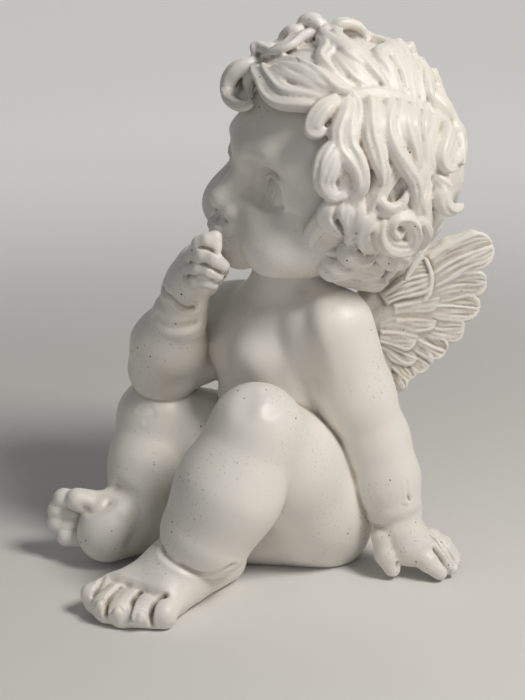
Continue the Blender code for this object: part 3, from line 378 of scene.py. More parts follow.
TOP_LOCKS = (
    (10.0, 4.5, (
        (-59, 72, 10), (-50, 67, 10.5), (-40, 62, 10), (-17, 57, 10), (-18, 50, 10), (-27, 44, 9),
    )),
    (6.0, 4.5, ((-33, 73, 10), (17, 68, 10), (26, 61, 9), (37, 57, 8.5), (50, 54, 7), (62, 53, 5.5))),
    (9.0, 6.0, ((-61, 73, 10.5), (19, 73, 8.5), (47, 65, 7.5), (64, 59, 6.5), (77, 56, 5.5))),
    (4.5, 5.0, ((-58, 73, 11), (27, 70, 10.5), (49, 67, 9.5), (68, 65, 8), (81, 58, 6.5))),
    (4.5, 5.0, ((-20, 78, 11.5), (39, 72, 10.5), (62, 69, 9), (79, 61, 7.5), (88, 55, 6))),
    (12.0, 4.5, (
        (-60, 72, 10), (-58, 74, 12), (-68, 77, 13.5), (-92, 80, 13), (-116, 81, 11), (-138, 83, 8.5),
    )),
    (9.0, 5.0, ((-54, 69, 10.5), (-50, 68, 14), (-47, 65, 15.5), (-45, 62, 15), (-44, 60, 12))),
    (7.0, 4.5, ((-44, 62, 11), (-40, 59, 13), (-41, 55, 12.5), (-40, 53, 11), (-42, 55, 10))),
    (5.0, 5.0, ((-25, 50, 9), (-34, 46, 11), (-36, 43, 13), (-35, 41, 13.5), (-33, 40, 11))),
    (7.0, 6.0, ((-139, 80, 10), (100, 77, 9), (98, 66, 7.5), (97, 54, 6))),
    (7.0, 6.0, ((-163, 78, 10.5), (125, 75, 9), (113, 64, 7.5), (109, 52, 6))),
    (7.0, 6.0, ((-179, 75, 12.5), (149, 72, 9), (121, 62, 7.5), (113, 50, 6))),
    (7.0, 6.0, ((175, 71, 13.5), (170, 66, 9), (131, 61, 7.5), (120, 48, 6))),
    (7.0, 6.0, ((167, 64, 11), (155, 59, 8.5), (133, 52, 7.5), (133, 43, 6))),
    (7.0, 6.0, ((159, 58, 11.5), (160, 51, 8.5), (151, 45, 8), (152, 36, 6.5))),
)
CROWN_BAND = (15.0, 4.5, (
    (54, 44, 3), (61, 48, 4), (75, 51, 4.5), (90, 51, 4.5), (105, 49, 4.5), (122, 46, 4.5), (142, 40, 4.5),
    (156, 33, 4),
))
SIDE_LOCKS = (
    (12.0, 6.0, ((60, 44, 3), (54, 36, 4.5), (53, 28, 4.5))),
    (12.0, 6.0, ((68, 30, 4), (67, 16, 5.5), (66, 6, 5))),
    (14.0, 5.0, ((76, 0, 4), (79, -10, 4.5), (86, -22, 4))),
    (12.0, 5.0, ((97, -4, 6), (97, -10, 6.5), (98, -16, 6))),
    (7.0, 7.0, ((56, 45, 4), (50, 39, 8), (47, 33, 9), (47, 27, 8.5), (50, 26, 8), (54, 28, 8))),
    (11.0, 7.0, (
        (61, 47, 4), (62, 37, 8), (62, 29, 8.5), (64, 23, 9), (68, 19, 10), (72, 14, 10), (74, 7, 9),
        (71, 3, 8),
    )),
    (10.0, 8.0, ((63, 26, 7), (59, 19, 9), (58, 12, 10), (59, 6, 9.5), (64, 2, 8.5), (69, 4, 8.5))),
    (8.0, 7.0, ((64, 22, 7), (65, 15, 8), (66, 9, 8))),
    (9.0, 7.0, ((75, 50, 4), (75, 39, 8), (76, 30, 9), (79, 22, 9.5), (82, 15, 9.5), (85, 8, 8))),
    (8.0, 7.0, (
        (92, 50, 4), (85, 40, 8), (84, 32, 9), (87, 25, 10), (92, 19, 10.5), (98, 13, 10.5), (102, 5, 9.5),
        (104, -3, 8),
    )),
    (7.0, 6.0, ((101, 50, 4), (92, 41, 8), (91, 33, 9), (95, 27, 8.5))),
    (8.0, 7.0, ((111, 47, 4), (98, 39, 8), (96, 32, 9), (99, 25, 9), (102, 18, 8))),
    (4.0, 5.0, ((121, 45, 4), (107, 38, 8.5), (105, 33, 9), (106, 29, 8))),
    (9.0, 6.0, ((133, 41, 4), (113, 34, 7), (109, 26, 7.5), (112, 18, 7), (118, 14, 6))),
    (6.0, 7.0, ((133, 40, 4), (126, 34, 8.5), (118, 27, 9.5), (115, 22, 10), (117, 18, 11), (123, 17, 12))),
    (8.0, 7.0, ((152, 37, 4), (150, 31, 8), (150, 24, 9), (137, 20, 9), (130, 18, 8))),
    (8.0, 7.0, ((115, 12, 6), (117, 8, 9), (118, 3, 11), (123, 0, 13), (133, 0, 14))),
    (6.0, 6.0, ((113, 14, 6), (117, 12, 9), (121, 9, 10), (121, 4, 11))),
    (4.0, 5.0, ((83, 4, 7), (86, 1, 8.5), (91, 1, 9), (95, 4, 9), (96, 9, 9))),
    (4.0, 5.0, ((82, 0, 6.5), (88, -2, 8), (94, -1, 8.5), (101, 1, 8))),
    (12.0, 4.0, ((90, 12, 4), (92, 5, 4.5), (95, 0, 5))),
    (8.0, 8.0, (
        (88, -5, 8), (89, -12, 9.5), (96, -18, 10), (106, -18, 10), (105, -10, 10), (99, -4, 10),
        (93, -4, 10),
        (92, -8, 10.5), (97, -12, 10.5), (98, -9, 10.5),
    )),
    (7.0, 6.0, ((86, -3, 6), (82, -7, 8), (81, -13, 8.5), (87, -21, 8), (93, -23, 7))),
    (6.0, 6.0, ((104, -2, 7), (109, -7, 9), (119, -15, 9.5), (130, -27, 8.5))),
    (6.0, 5.0, ((66, 0, 6), (63, -4, 8), (63, -10, 8), (68, -15, 7.5), (73, -19, 6.5))),
    (6.0, 5.0, ((71, 1, 6), (71, -5, 8), (74, -11, 8), (78, -19, 7))),
    (7.0, 5.0, ((75, 1, 6), (76, -5, 8), (77, -14, 8), (77, -22, 7))),
    (9.0, 7.0, ((69, -37, 4), (76, -39, 6.5), (84, -37, 7), (91, -31, 7))),
    (8.0, 7.0, ((81, -24, 5), (80, -29, 6.5), (88, -32, 7), (96, -29, 7))),
    (8.0, 7.0, ((98, -26, 6), (108, -31, 7.5), (121, -33, 8), (126, -29, 8))),
    (8.0, 7.0, ((109, -25, 6), (116, -29, 8), (120, -37, 8))),
    (9.0, 7.0, ((110, 12, 5), (107, 3, 7), (111, -4, 8), (123, -11, 8))),
    (11.0, 6.0, ((66, -34, 2), (76, -37, 3), (87, -40, 3.5), (98, -43, 3))),
    (11.0, 6.0, ((79, -34, 2), (89, -38, 3.5), (102, -41, 4), (115, -43, 4))),
    (10.0, 6.0, ((90, -42, 1), (104, -48, 2), (124, -53, 3), (139, -54, 4))),
    (9.0, 6.0, ((75, -41, 1), (87, -46, 2), (99, -49, 2), (113, -52, 2))),
)
FALL_STEP = 11.0
FALL_TOP = 50.0
FALL_WAVE = 6.0
FALL_WIDTH = 9.0
FALL_THICKNESS = 7.5
FALL_STOPS = 7
FALL_BACK_TURN = 125.0
FALL_SIDE_LOW = -40.0
FALL_BACK_LOW = -54.0
OVER_COUNT = 12
OVER_SPANS = 6
OVER_ARCH = 14.0
OVER_WIDTH = 10.0
OVER_THICKNESS = 6.5
NAPE_LOCK_COUNT = 6
NAPE_LOCK_START = 146.0
NAPE_LOCK_SPREAD = 84.0
NAPE_LOCK_WIDTH = 10.0
NAPE_LOCK_THICKNESS = 7.5
NAPE_LOCK_ROWS = ((52.0, 16.0), (24.0, -16.0), (-8.0, -48.0))
STRAND_WIDTH = 1.8
STRAND_OVERLAP = 1.9
STRAND_UNEVEN = 0.5
STRAND_WANDER = 0.45
SWEEP_SIDES = 16

# Wing: spread and rise are measured from its root in its own plane
WING_SWEEP = math.radians(35.0)
WING_ROOT_BACK = 25.0
WING_ROOT_SIDE = 12.0
WING_ROOT_HEIGHT = 99.0
CHEST = (-11.0, -1.0)
WING_ARM = (
    (0.0, 0.0, 0.0, 7.0),
    (18.0, 15.0, -2.5, 5.6),
    (33.0, 26.5, -3.5, 4.2),
    (45.0, 33.0, -2.5, 3.4),
    (55.0, 37.5, -1.0, 2.4),
)
WING_BLADE = ((20.0, -1.0, 17.0, 4.2), (30.0, 8.0, 16.0, 3.2), (40.0, 20.0, 11.0, 2.4))
FLIGHT_FEATHERS = (
    ((30.0, 16.0), (47.0, 27.0), (64.0, 33.0), 16.0),
    ((30.0, 11.0), (47.0, 16.0), (62.0, 17.0), 12.5),
    ((30.0, 8.0), (45.0, 7.5), (59.5, 6.0), 13.0),
    ((28.0, 3.0), (41.0, -2.5), (53.0, -3.5), 12.0),
    ((26.0, -2.0), (36.0, -9.0), (45.5, -13.0), 11.0),
    ((23.0, -6.0), (31.0, -14.0), (38.5, -19.5), 11.0),
    ((20.0, -8.0), (25.5, -17.0), (31.5, -24.5), 10.0),
    ((17.0, -10.0), (21.0, -21.0), (26.5, -30.0), 9.5),
)
COVERTS = (
    ((16.0, 13.0), (27.0, 19.5), (37.5, 21.5), 16.0, 2.6),
    ((22.0, 8.0), (31.0, 9.5), (41.0, 11.0), 10.0, 1.7),
    ((23.0, 2.0), (32.0, 2.0), (40.0, 1.0), 11.0, 1.7),
    ((16.0, -3.0), (24.0, -3.5), (32.0, -5.5), 14.0, 2.6),
    ((18.0, -8.0), (25.0, -12.0), (32.5, -15.5), 11.0, 1.7),
    ((13.0, -8.0), (17.0, -16.0), (21.0, -22.0), 10.0, 1.7),
)
WING_BLOCK = ((-12.0, -38.0, -14.0), (76.0, 50.0, 14.0))
WING_SEED = 3
WING_FOLD_ROUNDS = 30
WING_FOLD_SHARE = 1.8
FEATHER_STEPS = 28
VANE_WIDTH = 1.3
VANE_UNEVEN = 0.2
VANE_TILT = 0.6
WING_RIM = ((34.6, 28.0), (36.5, 23.7), (37.5, 19.3), (36.8, 13.7), (34.7, 10.7))
WING_RIM_LIFT = 2.9
WING_RIM_RADIUS = 0.8
# Painted shade over the whole wing: added to its fold depth, so the paint lays the dust colour across all of
# it
WING_PAINTED_SHADE = 0.27

# Camera, from the photograph
CAMERA_PLACE = (-18.0, -501.1, 214.0)
CAMERA_DOWN = math.radians(14.0)
CAMERA_LENS = 41.8
CAMERA_SENSOR = 24.0

# Pale paper sweep, in metres
FLOOR_SIZE = 6.0
WALL_DISTANCE = 2.6
WALL_HEIGHT = 3.5
WALL_CURVE = 2.0
WALL_SEGMENTS = 16

# Lamps: place and width in metres, and colour
LAMP_AIM = (-0.015, -0.01, 0.10)
KEY_LAMP = ((0.52, -0.44, 0.80), 0.34, (1.0, 0.965, 0.91))
FILL_LAMP = ((-0.35, -0.95, 0.40), 0.9, (0.93, 0.95, 1.0))
TOP_LAMP = ((0.1, 0.5, 0.9), 0.6, (1.0, 0.98, 0.95))
TOP_SHARE = 0.6
WORLD_COLOUR = (0.80, 0.79, 0.80, 1.0)
WORLD_STRENGTH = 0.17


# Settings that a user would change
class SkinSettings(bpy.types.PropertyGroup):
    pitch: bpy.props.FloatProperty(
        name="Skin Pitch", description="Spacing of the skin's points", default=0.6 * MM, unit="LENGTH"
    )
    face_pitch: bpy.props.FloatProperty(
        name="Face Pitch", description="Spacing of the face's points", default=0.4 * MM, unit="LENGTH"
    )


class HairSettings(bpy.types.PropertyGroup):
    pitch: bpy.props.FloatProperty(
        name="Hair Pitch", description="Spacing of the hair's points", default=0.58 * MM, unit="LENGTH"
    )


class WingSettings(bpy.types.PropertyGroup):
    pitch: bpy.props.FloatProperty(
        name="Wing Pitch", description="Spacing of the wing's points", default=0.42 * MM, unit="LENGTH"
    )
    thickness: bpy.props.FloatProperty(
        name="Feather Thickness", description="Thickness of a flight feather", default=3.4 * MM, unit="LENGTH"
    )


class FinishSettings(bpy.types.PropertyGroup):
    paint: bpy.props.FloatVectorProperty(
        name="Paint", description="Ivory paint", default=(0.80, 0.77, 0.71), subtype="COLOR", min=0.0, max=1.0
    )
    # Colour of real dust specks, also used for the dust and painted shade in the folds
    dust_and_shade_colour: bpy.props.FloatVectorProperty(
        name="Dust",
        description="Dust in the folds",
        default=(0.31, 0.25, 0.18),
        subtype="COLOR",
        min=0.0,
        max=1.0,
    )


class StageSettings(bpy.types.PropertyGroup):
    floor: bpy.props.FloatVectorProperty(
        name="Floor", description="Pale floor", default=(0.72, 0.71, 0.69), subtype="COLOR", min=0.0, max=1.0
    )
    backdrop: bpy.props.FloatProperty(
        name="Backdrop", description="How bright the far backdrop is seen", default=0.55
    )
    key: bpy.props.FloatProperty(
        name="Key Light", description="Power of the key light", default=7.3, unit="POWER"
    )
    fill: bpy.props.FloatProperty(
        name="Fill Light", description="Power of the fill light", default=0.85, unit="POWER"
    )


# Clay: distances to a surface on a grid of points
def soft_min(first, second, blend):
    """The nearer of two surfaces, rounded over where they meet."""
    overlap = np.maximum(blend - np.abs(first - second), 0.0)
    return np.minimum(first, second) - overlap * overlap / (4.0 * blend)


def round_cone(start, end):
    """A rounded, tapering length between two stations of x, y, z and radius."""
    foot = np.array(start[:3])
    along = np.array(end[:3]) - foot
    growth = end[3] - start[3]
    widest = max(start[3], end[3])

    def distance(x, y, z):
        x = x - foot[0]
        y = y - foot[1]
        z = z - foot[2]
        share = np.clip((x * along[0] + y * along[1] + z * along[2]) / along.dot(along), 0.0, 1.0)
        x = x - share * along[0]
        y = y - share * along[1]
        z = z - share * along[2]
        return np.sqrt(x * x + y * y + z * z) - start[3] - growth * share

    ends = np.array((start[:3], end[:3]))
    return distance, ends.min(0) - widest, ends.max(0) + widest


def ball(station):
    """A ball at a station of x, y, z and radius."""
    centre = np.array(station[:3])

    def distance(x, y, z):
        return np.sqrt((x - centre[0]) ** 2 + (y - centre[1]) ** 2 + (z - centre[2]) ** 2) - station[3]

    return distance, centre - station[3], centre + station[3]


def egg(centre, half, axes=None):
    """An egg with a half size along each of three directions."""
    turn = np.identity(3) if axes is None else np.array(axes)

    def distance(x, y, z):
        x, y, z = x - centre[0], y - centre[1], z - centre[2]
        along = [(turn[i][0] * x + turn[i][1] * y + turn[i][2] * z) / half[i] for i in range(3)]
        near = np.sqrt(sum(part * part for part in along))
        steep = np.sqrt(sum((part / size) ** 2 for part, size in zip(along, half)))
        return near * (near - 1.0) / np.maximum(steep, 1e-6)

    reach = np.sqrt(sum((turn[i] * half[i]) ** 2 for i in range(3)))
    return distance, np.array(centre) - reach, np.array(centre) + reach


class Clay:
    """A block of grid points that each hold their distance to the modelled surface."""

    def __init__(self, low, high, pitch):
        self.pitch = pitch
        self.first = np.floor(np.array(low) / pitch).astype(int) - 4
        last = np.ceil(np.array(high) / pitch).astype(int) + 4
        self.field = np.full(last - self.first + 1, FAR, np.float32)

    def window(self, low, high, spread):
        """The block's slices and grid places within a box grown by the spread."""
        lowest = np.floor((np.array(low) - spread) / self.pitch).astype(int) - self.first
        highest = np.ceil((np.array(high) + spread) / self.pitch).astype(int) - self.first + 1
        lowest = np.clip(lowest, 0, self.field.shape)
        highest = np.clip(highest, 0, self.field.shape)
        slices = tuple(slice(a, b) for a, b in zip(lowest, highest))
        steps = (np.arange(a, b) + f for a, b, f in zip(lowest, highest, self.first))
        places = [step.astype(np.float32) * self.pitch for step in steps]
        return slices, np.meshgrid(*places, indexing="ij", sparse=True)

    def join(self, shape, blend):
        distance, low, high = shape
        slices, places = self.window(low, high, blend + 3.0 * self.pitch)
        self.field[slices] = soft_min(self.field[slices], distance(*places), blend)

    def carve(self, shape, blend):
        distance, low, high = shape
        slices, places = self.window(low, high, blend + 3.0 * self.pitch)
        self.field[slices] = -soft_min(-self.field[slices], distance(*places), blend)

    def limb(self, stations, blend):
        for start, end in zip(stations, stations[1:]):
            self.join(round_cone(start, end), blend)

    def box(self):
        return self.first * self.pitch, (self.first + np.array(self.field.shape) - 1) * self.pitch

    def shared(self, other):
        """Where two blocks overlap: slices of this block and of the other, and the places along each axis."""
        start = np.maximum(self.first, other.first)
        stop = np.minimum(self.first + self.field.shape, other.first + other.field.shape)
        own = tuple(slice(a, b) for a, b in zip(start - self.first, stop - self.first))
        part = tuple(slice(a, b) for a, b in zip(start - other.first, stop - other.first))
        return own, part, [np.arange(a, b) * self.pitch for a, b in zip(start, stop)]

    def merge(self, other, joint=None, blend=CONTACT_BLEND):
        """Adds another block, rounder near a joint of centre, reach and blend."""
        own, part, places = self.shared(other)
        if joint:
            centre, reach, rounding = joint
            x, y, z = np.meshgrid(*places, indexing="ij", sparse=True)
            away = (x - centre[0]) ** 2 + (y - centre[1]) ** 2 + (z - centre[2]) ** 2
            blend = blend + (rounding - blend) * np.exp(-away / reach**2)
        self.field[own] = soft_min(self.field[own], other.field[part], blend)

    def sample(self, points):
        """The distance at places, from the nearest grid points."""
        cell = np.rint(points / self.pitch).astype(int) - self.first
        inside = np.all((cell >= 0) & (cell < self.field.shape), axis=1)
        found = np.full(len(points), FAR, np.float32)
        found[inside] = self.field[tuple(cell[inside].T)]
        return found

    def skin(self):
        """The surface as corner places and faces of four corners."""
        band = 3.0 * self.pitch
        grid = openvdb.FloatGrid(band)
        grid.copyFromArray(np.clip(self.field, -band, band))
        points, _, quads = grid.convertToPolygons(isovalue=0.0, adaptivity=0.0)
        return (points + self.first) * self.pitch, quads.astype(int)


def clay_of_strands(strands, low, high, pitch):
    """Fuses closed strands into one block of clay."""
    corners = np.concatenate([points for points, _ in strands])
    counts = np.cumsum([0] + [len(points) for points, _ in strands])
    faces = np.concatenate([quads + count for (_, quads), count in zip(strands, counts)])
    clay = Clay(low, high, pitch)
    places = (corners / pitch - clay.first).astype(np.float32)
    grid = openvdb.FloatGrid.createLevelSetFromPolygons(
        places, quads=faces.astype(np.uint32), transform=openvdb.createLinearTransform(1.0), halfWidth=4.0
    )
    field = np.full(clay.field.shape, 4.0, np.float32)
    grid.copyToArray(field)
    clay.field = field * pitch
    return clay


# Mesh work
def neighbour_mean(points, quads):
    """Each corner's mean of its neighbours."""
    starts = quads.ravel()
    ends = np.roll(quads, -1, axis=1).ravel()
    count = np.bincount(starts, minlength=len(points)) + np.bincount(ends, minlength=len(points))
    total = np.empty_like(points)
    for axis in range(3):
        total[:, axis] = np.bincount(starts, points[ends, axis], len(points))
        total[:, axis] += np.bincount(ends, points[starts, axis], len(points))
    return total / count[:, None]


def corner_normals(points, quads):
    across = np.cross(points[quads[:, 2]] - points[quads[:, 0]], points[quads[:, 3]] - points[quads[:, 1]])
    total = np.empty_like(points)
    for axis in range(3):
        total[:, axis] = sum(np.bincount(quads[:, i], across[:, axis], len(points)) for i in range(4))
    return total / np.maximum(np.linalg.norm(total, axis=1), 1e-9)[:, None]


def soften(points, quads, rounds):
    for _ in range(rounds):
        points = points + 0.5 * (neighbour_mean(points, quads) - points)
    return points


def smooth_path(stops, count):
    """A smooth curve through stops, with its columns interpolated alike."""
    stops = np.array(stops, float)
    padded = np.concatenate((2.0 * stops[:1] - stops[1:2], stops, 2.0 * stops[-1:] - stops[-2:-1]))
    at = np.linspace(0.0, len(stops) - 1.0, count)
    span = np.minimum(at.astype(int), len(stops) - 2)
    share = (at - span)[:, None]
    a, b, c, d = (padded[span + i] for i in range(4))
    bend = 2.0 * a - 5.0 * b + 4.0 * c - d
    twist = 3.0 * b - a - 3.0 * c + d
    return 0.5 * (2.0 * b + (c - a) * share + bend * share**2 + twist * share**3)


def press(points, normals, stroke, lift=1.0):
    """Presses a stroke of width, depth and points into a surface, with soft shoulders."""
    width, depth, stops = stroke
    path = smooth_path(stops, 8 * len(stops))
    low, high = path.min(0) - 3.0 * width, path.max(0) + 3.0 * width
    near = np.flatnonzero(np.all((points > low) & (points < high), axis=1))
    if not len(near):
        return
    gaps = np.linalg.norm(points[near, None, :] - path[None, :, :], axis=2)
    best = gaps.min(1)
    fall = np.exp(-((best / width) ** 2)) - 0.25 * np.exp(-(((best - 1.9 * width) / (0.8 * width)) ** 2))
    points[near] -= normals[near] * (fall * depth * lift)[:, None]


def folds(points, quads, normals, rounds):
    """How deep each corner lies under its softened surroundings, in millimetres."""
    return np.einsum("ij,ij->i", soften(points, quads, rounds) - points, normals)


def make_object(name, points, faces, fold, material):
    """A smooth mesh object at its place, with the depth of its folds kept for the paint."""
    mesh = bpy.data.meshes.new(name)
    mesh.from_pydata(points * MM, [], faces)
    mesh.update()
    mesh.shade_smooth()
    mesh.attributes.new("fold", "FLOAT", "POINT").data.foreach_set("value", fold.astype(np.float32))
    mesh.materials.append(material)
    thing = bpy.data.objects.new(name, mesh)
    bpy.context.scene.collection.objects.link(thing)
    return thing


def lighten(piece, limit):
    """Collapses the flattest faces of a piece until it keeps to a number of triangles.

    A tiny island may collapse to two faces on the same corners, and such flaps are deleted.
    """
    triangles = sum(len(face.vertices) - 2 for face in piece.data.polygons)
    if triangles <= limit:
        return
    bpy.ops.object.select_all(action="DESELECT")
    piece.select_set(True)
    bpy.context.view_layer.objects.active = piece
    bpy.ops.object.modifier_add(type="DECIMATE")
    piece.modifiers[-1].ratio = limit / triangles
    piece.modifiers[-1].use_collapse_triangulate = True
    bpy.ops.object.modifier_apply(modifier=piece.modifiers[-1].name)
    form = bmesh.new()
    form.from_mesh(piece.data)
    twins = {}
    for face in form.faces:
        twins.setdefault(frozenset(face.verts), []).append(face)
    flaps = [face for group in twins.values() if len(group) > 1 for face in group]
    bmesh.ops.delete(form, geom=flaps, context="FACES")
    form.to_mesh(piece.data)
    form.free()


def stand_for(piece, node):
    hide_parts(node)
    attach(piece, BODY)


# Body
def torso_axes():
    left = (math.cos(TORSO_TURN), -math.sin(TORSO_TURN), 0.0)
    forward = (-math.sin(TORSO_TURN), -math.cos(TORSO_TURN), 0.0)
    return np.array((left, forward, (0.0, 0.0, 1.0)))


def node_clay(node, pitch):
    """An empty block a little larger than a node's box."""
    low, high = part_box(node)
    return Clay(np.array(low) / MM - NODE_MARGIN, np.array(high) / MM + NODE_MARGIN, pitch)


def torso_clay(pitch):
    clay = node_clay("torso", pitch)
    axes = torso_axes()
    for centre, half in TORSO_EGGS:
        clay.join(egg(centre, half, axes), BLEND["torso"])
    for station in (LEFT_BREAST, RIGHT_BREAST):
        clay.join(ball(station), BLEND["breast"])
    clay.limb(NECK, BLEND["neck"])
    clay.limb(LEFT_COLLAR, BLEND["collar"])
    clay.limb(RIGHT_COLLAR, BLEND["collar"])
    return clay


def arm_clay(node, stations, pitch, roll=()):
    """An arm, with a roll of fat at the wrist where one is given."""
    clay = node_clay(node, pitch)
    clay.limb(stations, BLEND["arm"])
    clay.limb(roll, BLEND["wrist roll"])
    return clay


def leg_clay(node, thigh, shin, knee, pitch, ham=()):
    """A bent leg: thigh and shin flow together at the knee and meet in a sharp valley behind it."""
    clay = node_clay(node, pitch)
    clay.limb(thigh, BLEND["leg"])
    clay.limb(ham, BLEND["ham"])
    lower = node_clay(node, pitch)
    lower.limb(shin, BLEND["leg"])
    clay.merge(lower, (knee, KNEE_REACH, BLEND["knee"]), BLEND["behind the knee"])
    return clay


def hand_clay(node, palm, fingers, thumb, pitch, hollow=None):
    """A palm with its digits; a hollow is carved under the fingers before the thumb is added."""
    clay = node_clay(node, pitch)
    clay.limb(palm, BLEND["palm"])
    knuckles = (palm[1][:3], KNUCKLE_REACH, BLEND["knuckles"])

    def add_digit(stations):
        digit = node_clay(node, pitch)
        digit.limb(stations, BLEND["digit"])
        clay.merge(digit, knuckles, BLEND["between fingers"])

    for finger in fingers:
        add_digit(finger)
    if hollow:
        clay.carve(round_cone(*hollow), BLEND["palm hollow"])
    add_digit(thumb)
    return clay


def foot_clay(node, bones, toes, pitch, pad=()):
    clay = node_clay(node, pitch)
    for bone in bones:
        clay.limb(bone, BLEND["foot"])
    clay.limb(pad, BLEND["toe pad"])
    for toe in toes:
        clay.limb(toe, BLEND["toe"])
    return clay


def body_pieces(pitch):
    return {
        "torso": torso_clay(pitch),
        "left_arm": arm_clay("left_arm", LEFT_ARM, pitch),
        "right_arm": arm_clay("right_arm", RIGHT_ARM, pitch, RIGHT_WRIST_ROLL),
        "left_leg": leg_clay("left_leg", LEFT_THIGH, LEFT_SHIN, LEFT_KNEE, pitch, LEFT_HAM),
        "right_leg": leg_clay("right_leg", RIGHT_THIGH, RIGHT_SHIN, RIGHT_KNEE, pitch),
        "left_hand": hand_clay("left_hand", LEFT_PALM, LEFT_FINGERS, LEFT_THUMB, pitch, LEFT_PALM_HOLLOW),
        "right_hand": hand_clay("right_hand", RIGHT_FIST, RIGHT_FINGERS, RIGHT_THUMB, pitch),
        "left_foot": foot_clay("left_foot", LEFT_FOOT_BONES, LEFT_TOES, pitch, LEFT_TOE_PAD),
        "right_foot": foot_clay("right_foot", RIGHT_FOOT_BONES, RIGHT_TOES, pitch),
    }


def rim_loops(quads):
    """The open edges of some faces, as loops of corners in the faces' own direction."""
    starts = quads.ravel()
    ends = np.roll(quads, -1, axis=1).ravel()
    sides = set(zip(starts.tolist(), ends.tolist()))
    onward = {}
    for start, end in sides:
        if (end, start) not in sides:
            onward.setdefault(start, []).append(end)
    while onward:
        start = next(iter(onward))
        loop = []
        at = start
        while at in onward:
            loop.append(at)
            following = onward[at].pop()
            if not onward[at]:
                del onward[at]
            at = following
        yield loop


def cut_piece(points, quads, normals, fold):
    """Closes some faces of the whole skin into a piece of its own, with the skin's normals kept."""
    used = np.unique(quads)
    index = np.full(len(points), -1)
    index[used] = np.arange(len(used))
    own_points = points[used]
    own_normals = normals[used]
    own_fold = fold[used]
    faces = index[quads].tolist()
    shading = [own_normals[face] for face in faces]
    hubs = []
    for loop in rim_loops(index[quads]):
        middle = own_points[loop].mean(0)
        hub = len(own_points) + len(hubs)
        hubs.append(middle)
        facing = np.cross(own_points[loop], np.roll(own_points[loop], -1, axis=0)).sum(0)
        facing = -facing / max(np.linalg.norm(facing), 1e-9)
        for start, end in zip(loop, loop[1:] + loop[:1]):
            faces.append((end, start, hub))
            shading.append(np.array((facing, facing, facing)))
    if hubs:
        own_points = np.concatenate((own_points, hubs))
        own_fold = np.concatenate((own_fold, np.zeros(len(hubs))))
    return own_points, faces, own_fold, np.concatenate(shading)


class FIGURINE_OT_model_skin(bpy.types.Operator):
    """Models the torso, arms, hands, legs and feet as one skin and parts it into its castings"""

    bl_idname = "figurine.model_skin"
    bl_label = "Model Skin"

    def execute(self, context):
        pitch = context.scene.figurine_skin.pitch / MM
        pieces = body_pieces(pitch)
        boxes = [piece.box() for piece in pieces.values()]
        body = Clay(np.min([low for low, _ in boxes], 0), np.max([high for _, high in boxes], 0), pitch)
        for node, piece in pieces.items():
            body.merge(piece, JOINTS.get(node))
        heights = (np.arange(body.field.shape[2]) + body.first[2]) * pitch
        body.field = np.maximum(body.field, TABLE_GAP - heights[None, None, :])
        points, quads = body.skin()
        points = soften(points, quads, 2)
        normals = corner_normals(points, quads)
        for stroke in SKIN_STROKES:
            press(points, normals, stroke)
        points = soften(points, quads, 1)
        points[:, 2] = np.maximum(points[:, 2], TABLE_GAP)
        normals = corner_normals(points, quads)
        fold = folds(points, quads, normals, SKIN_FOLD_ROUNDS)
        nearest = np.argmin([piece.sample(points) for piece in pieces.values()], axis=0)
        owner = np.sort(nearest[quads], axis=1)[:, 1]
        material = painted_resin(context.scene.figurine_finish)
        for number, node in enumerate(pieces):
            corners, faces, depth, shading = cut_piece(points, quads[owner == number], normals, fold)
            piece = make_object(node + "_skin", corners, faces, depth, material)
            piece.data.normals_split_custom_set(shading)
            stand_for(piece, node)
        return {"FINISHED"}


# Head
def head_axes():
    """The head's left, forward and up directions after its turn, tilt and lean."""
    flat_left = np.array((math.cos(HEAD_TURN), -math.sin(HEAD_TURN), 0.0))
    flat_forward = np.array((-math.sin(HEAD_TURN), -math.cos(HEAD_TURN), 0.0))
    forward = flat_forward * math.cos(HEAD_TILT_UP) + np.array((0.0, 0.0, math.sin(HEAD_TILT_UP)))
    upright = np.cross(forward, flat_left)
    left = flat_left * math.cos(HEAD_LEAN) - upright * math.sin(HEAD_LEAN)
    up = upright * math.cos(HEAD_LEAN) + flat_left * math.sin(HEAD_LEAN)
    face_left = left * math.cos(FACE_TURN) + forward * math.sin(FACE_TURN)
    face_forward = forward * math.cos(FACE_TURN) - left * math.sin(FACE_TURN)
    return np.array((face_left, face_forward, up))


def from_head(points):
    """Places given in head axes; left, forward and up are left-handed, so faces turn over."""
    return points @ head_axes() + np.array(HEAD_CENTRE)


def on_side(side, stations):
    """The left side's stations, or with a side of -1 their mirror images on the right."""
    return tuple((side * station[0], *station[1:]) for station in stations)


def circle_through(first, second, third):
    """Centre and radius of the circle through three points of a plane."""
    (ax, ay), (bx, by), (cx, cy) = first, second, third
    twice = 2.0 * (ax * (by - cy) + bx * (cy - ay) + cx * (ay - by))
    a, b, c = ax * ax + ay * ay, bx * bx + by * by, cx * cx + cy * cy
    x = (a * (by - cy) + b * (cy - ay) + c * (ay - by)) / twice
    y = (a * (cx - bx) + b * (ax - cx) + c * (bx - ax)) / twice
    return x, y, math.hypot(ax - x, ay - y)


def eye_opening(x, z):
    """Distance to the almond between the lids, on the left eye."""
    top = circle_through(EYE_INNER, EYE_TOP, EYE_OUTER)
    bottom = circle_through(EYE_INNER, EYE_BOTTOM, EYE_OUTER)
    arcs = [np.sqrt((x - a) ** 2 + (z - b) ** 2) - radius for a, b, radius in (top, bottom)]
    return np.maximum(*arcs)


def eyelids(side):
    """A thin shell over the eyeball with the almond left open."""
    outer, low, high = ball((side * EYEBALL[0], *EYEBALL[1:3], EYEBALL[3] + UPPER_LID))
    slope = (EYE_OUTER[1] - EYE_INNER[1]) / (EYE_OUTER[0] - EYE_INNER[0])

    def distance(x, y, z):
        above = z - EYE_INNER[1] - slope * (side * x - EYE_INNER[0])
        thinner = (UPPER_LID - LOWER_LID) * (0.5 - 0.5 * np.clip(above / 2.5, -1.0, 1.0))
        return np.maximum(outer(x, y, z) + thinner, -eye_opening(side * x, z))

    return distance, low, high


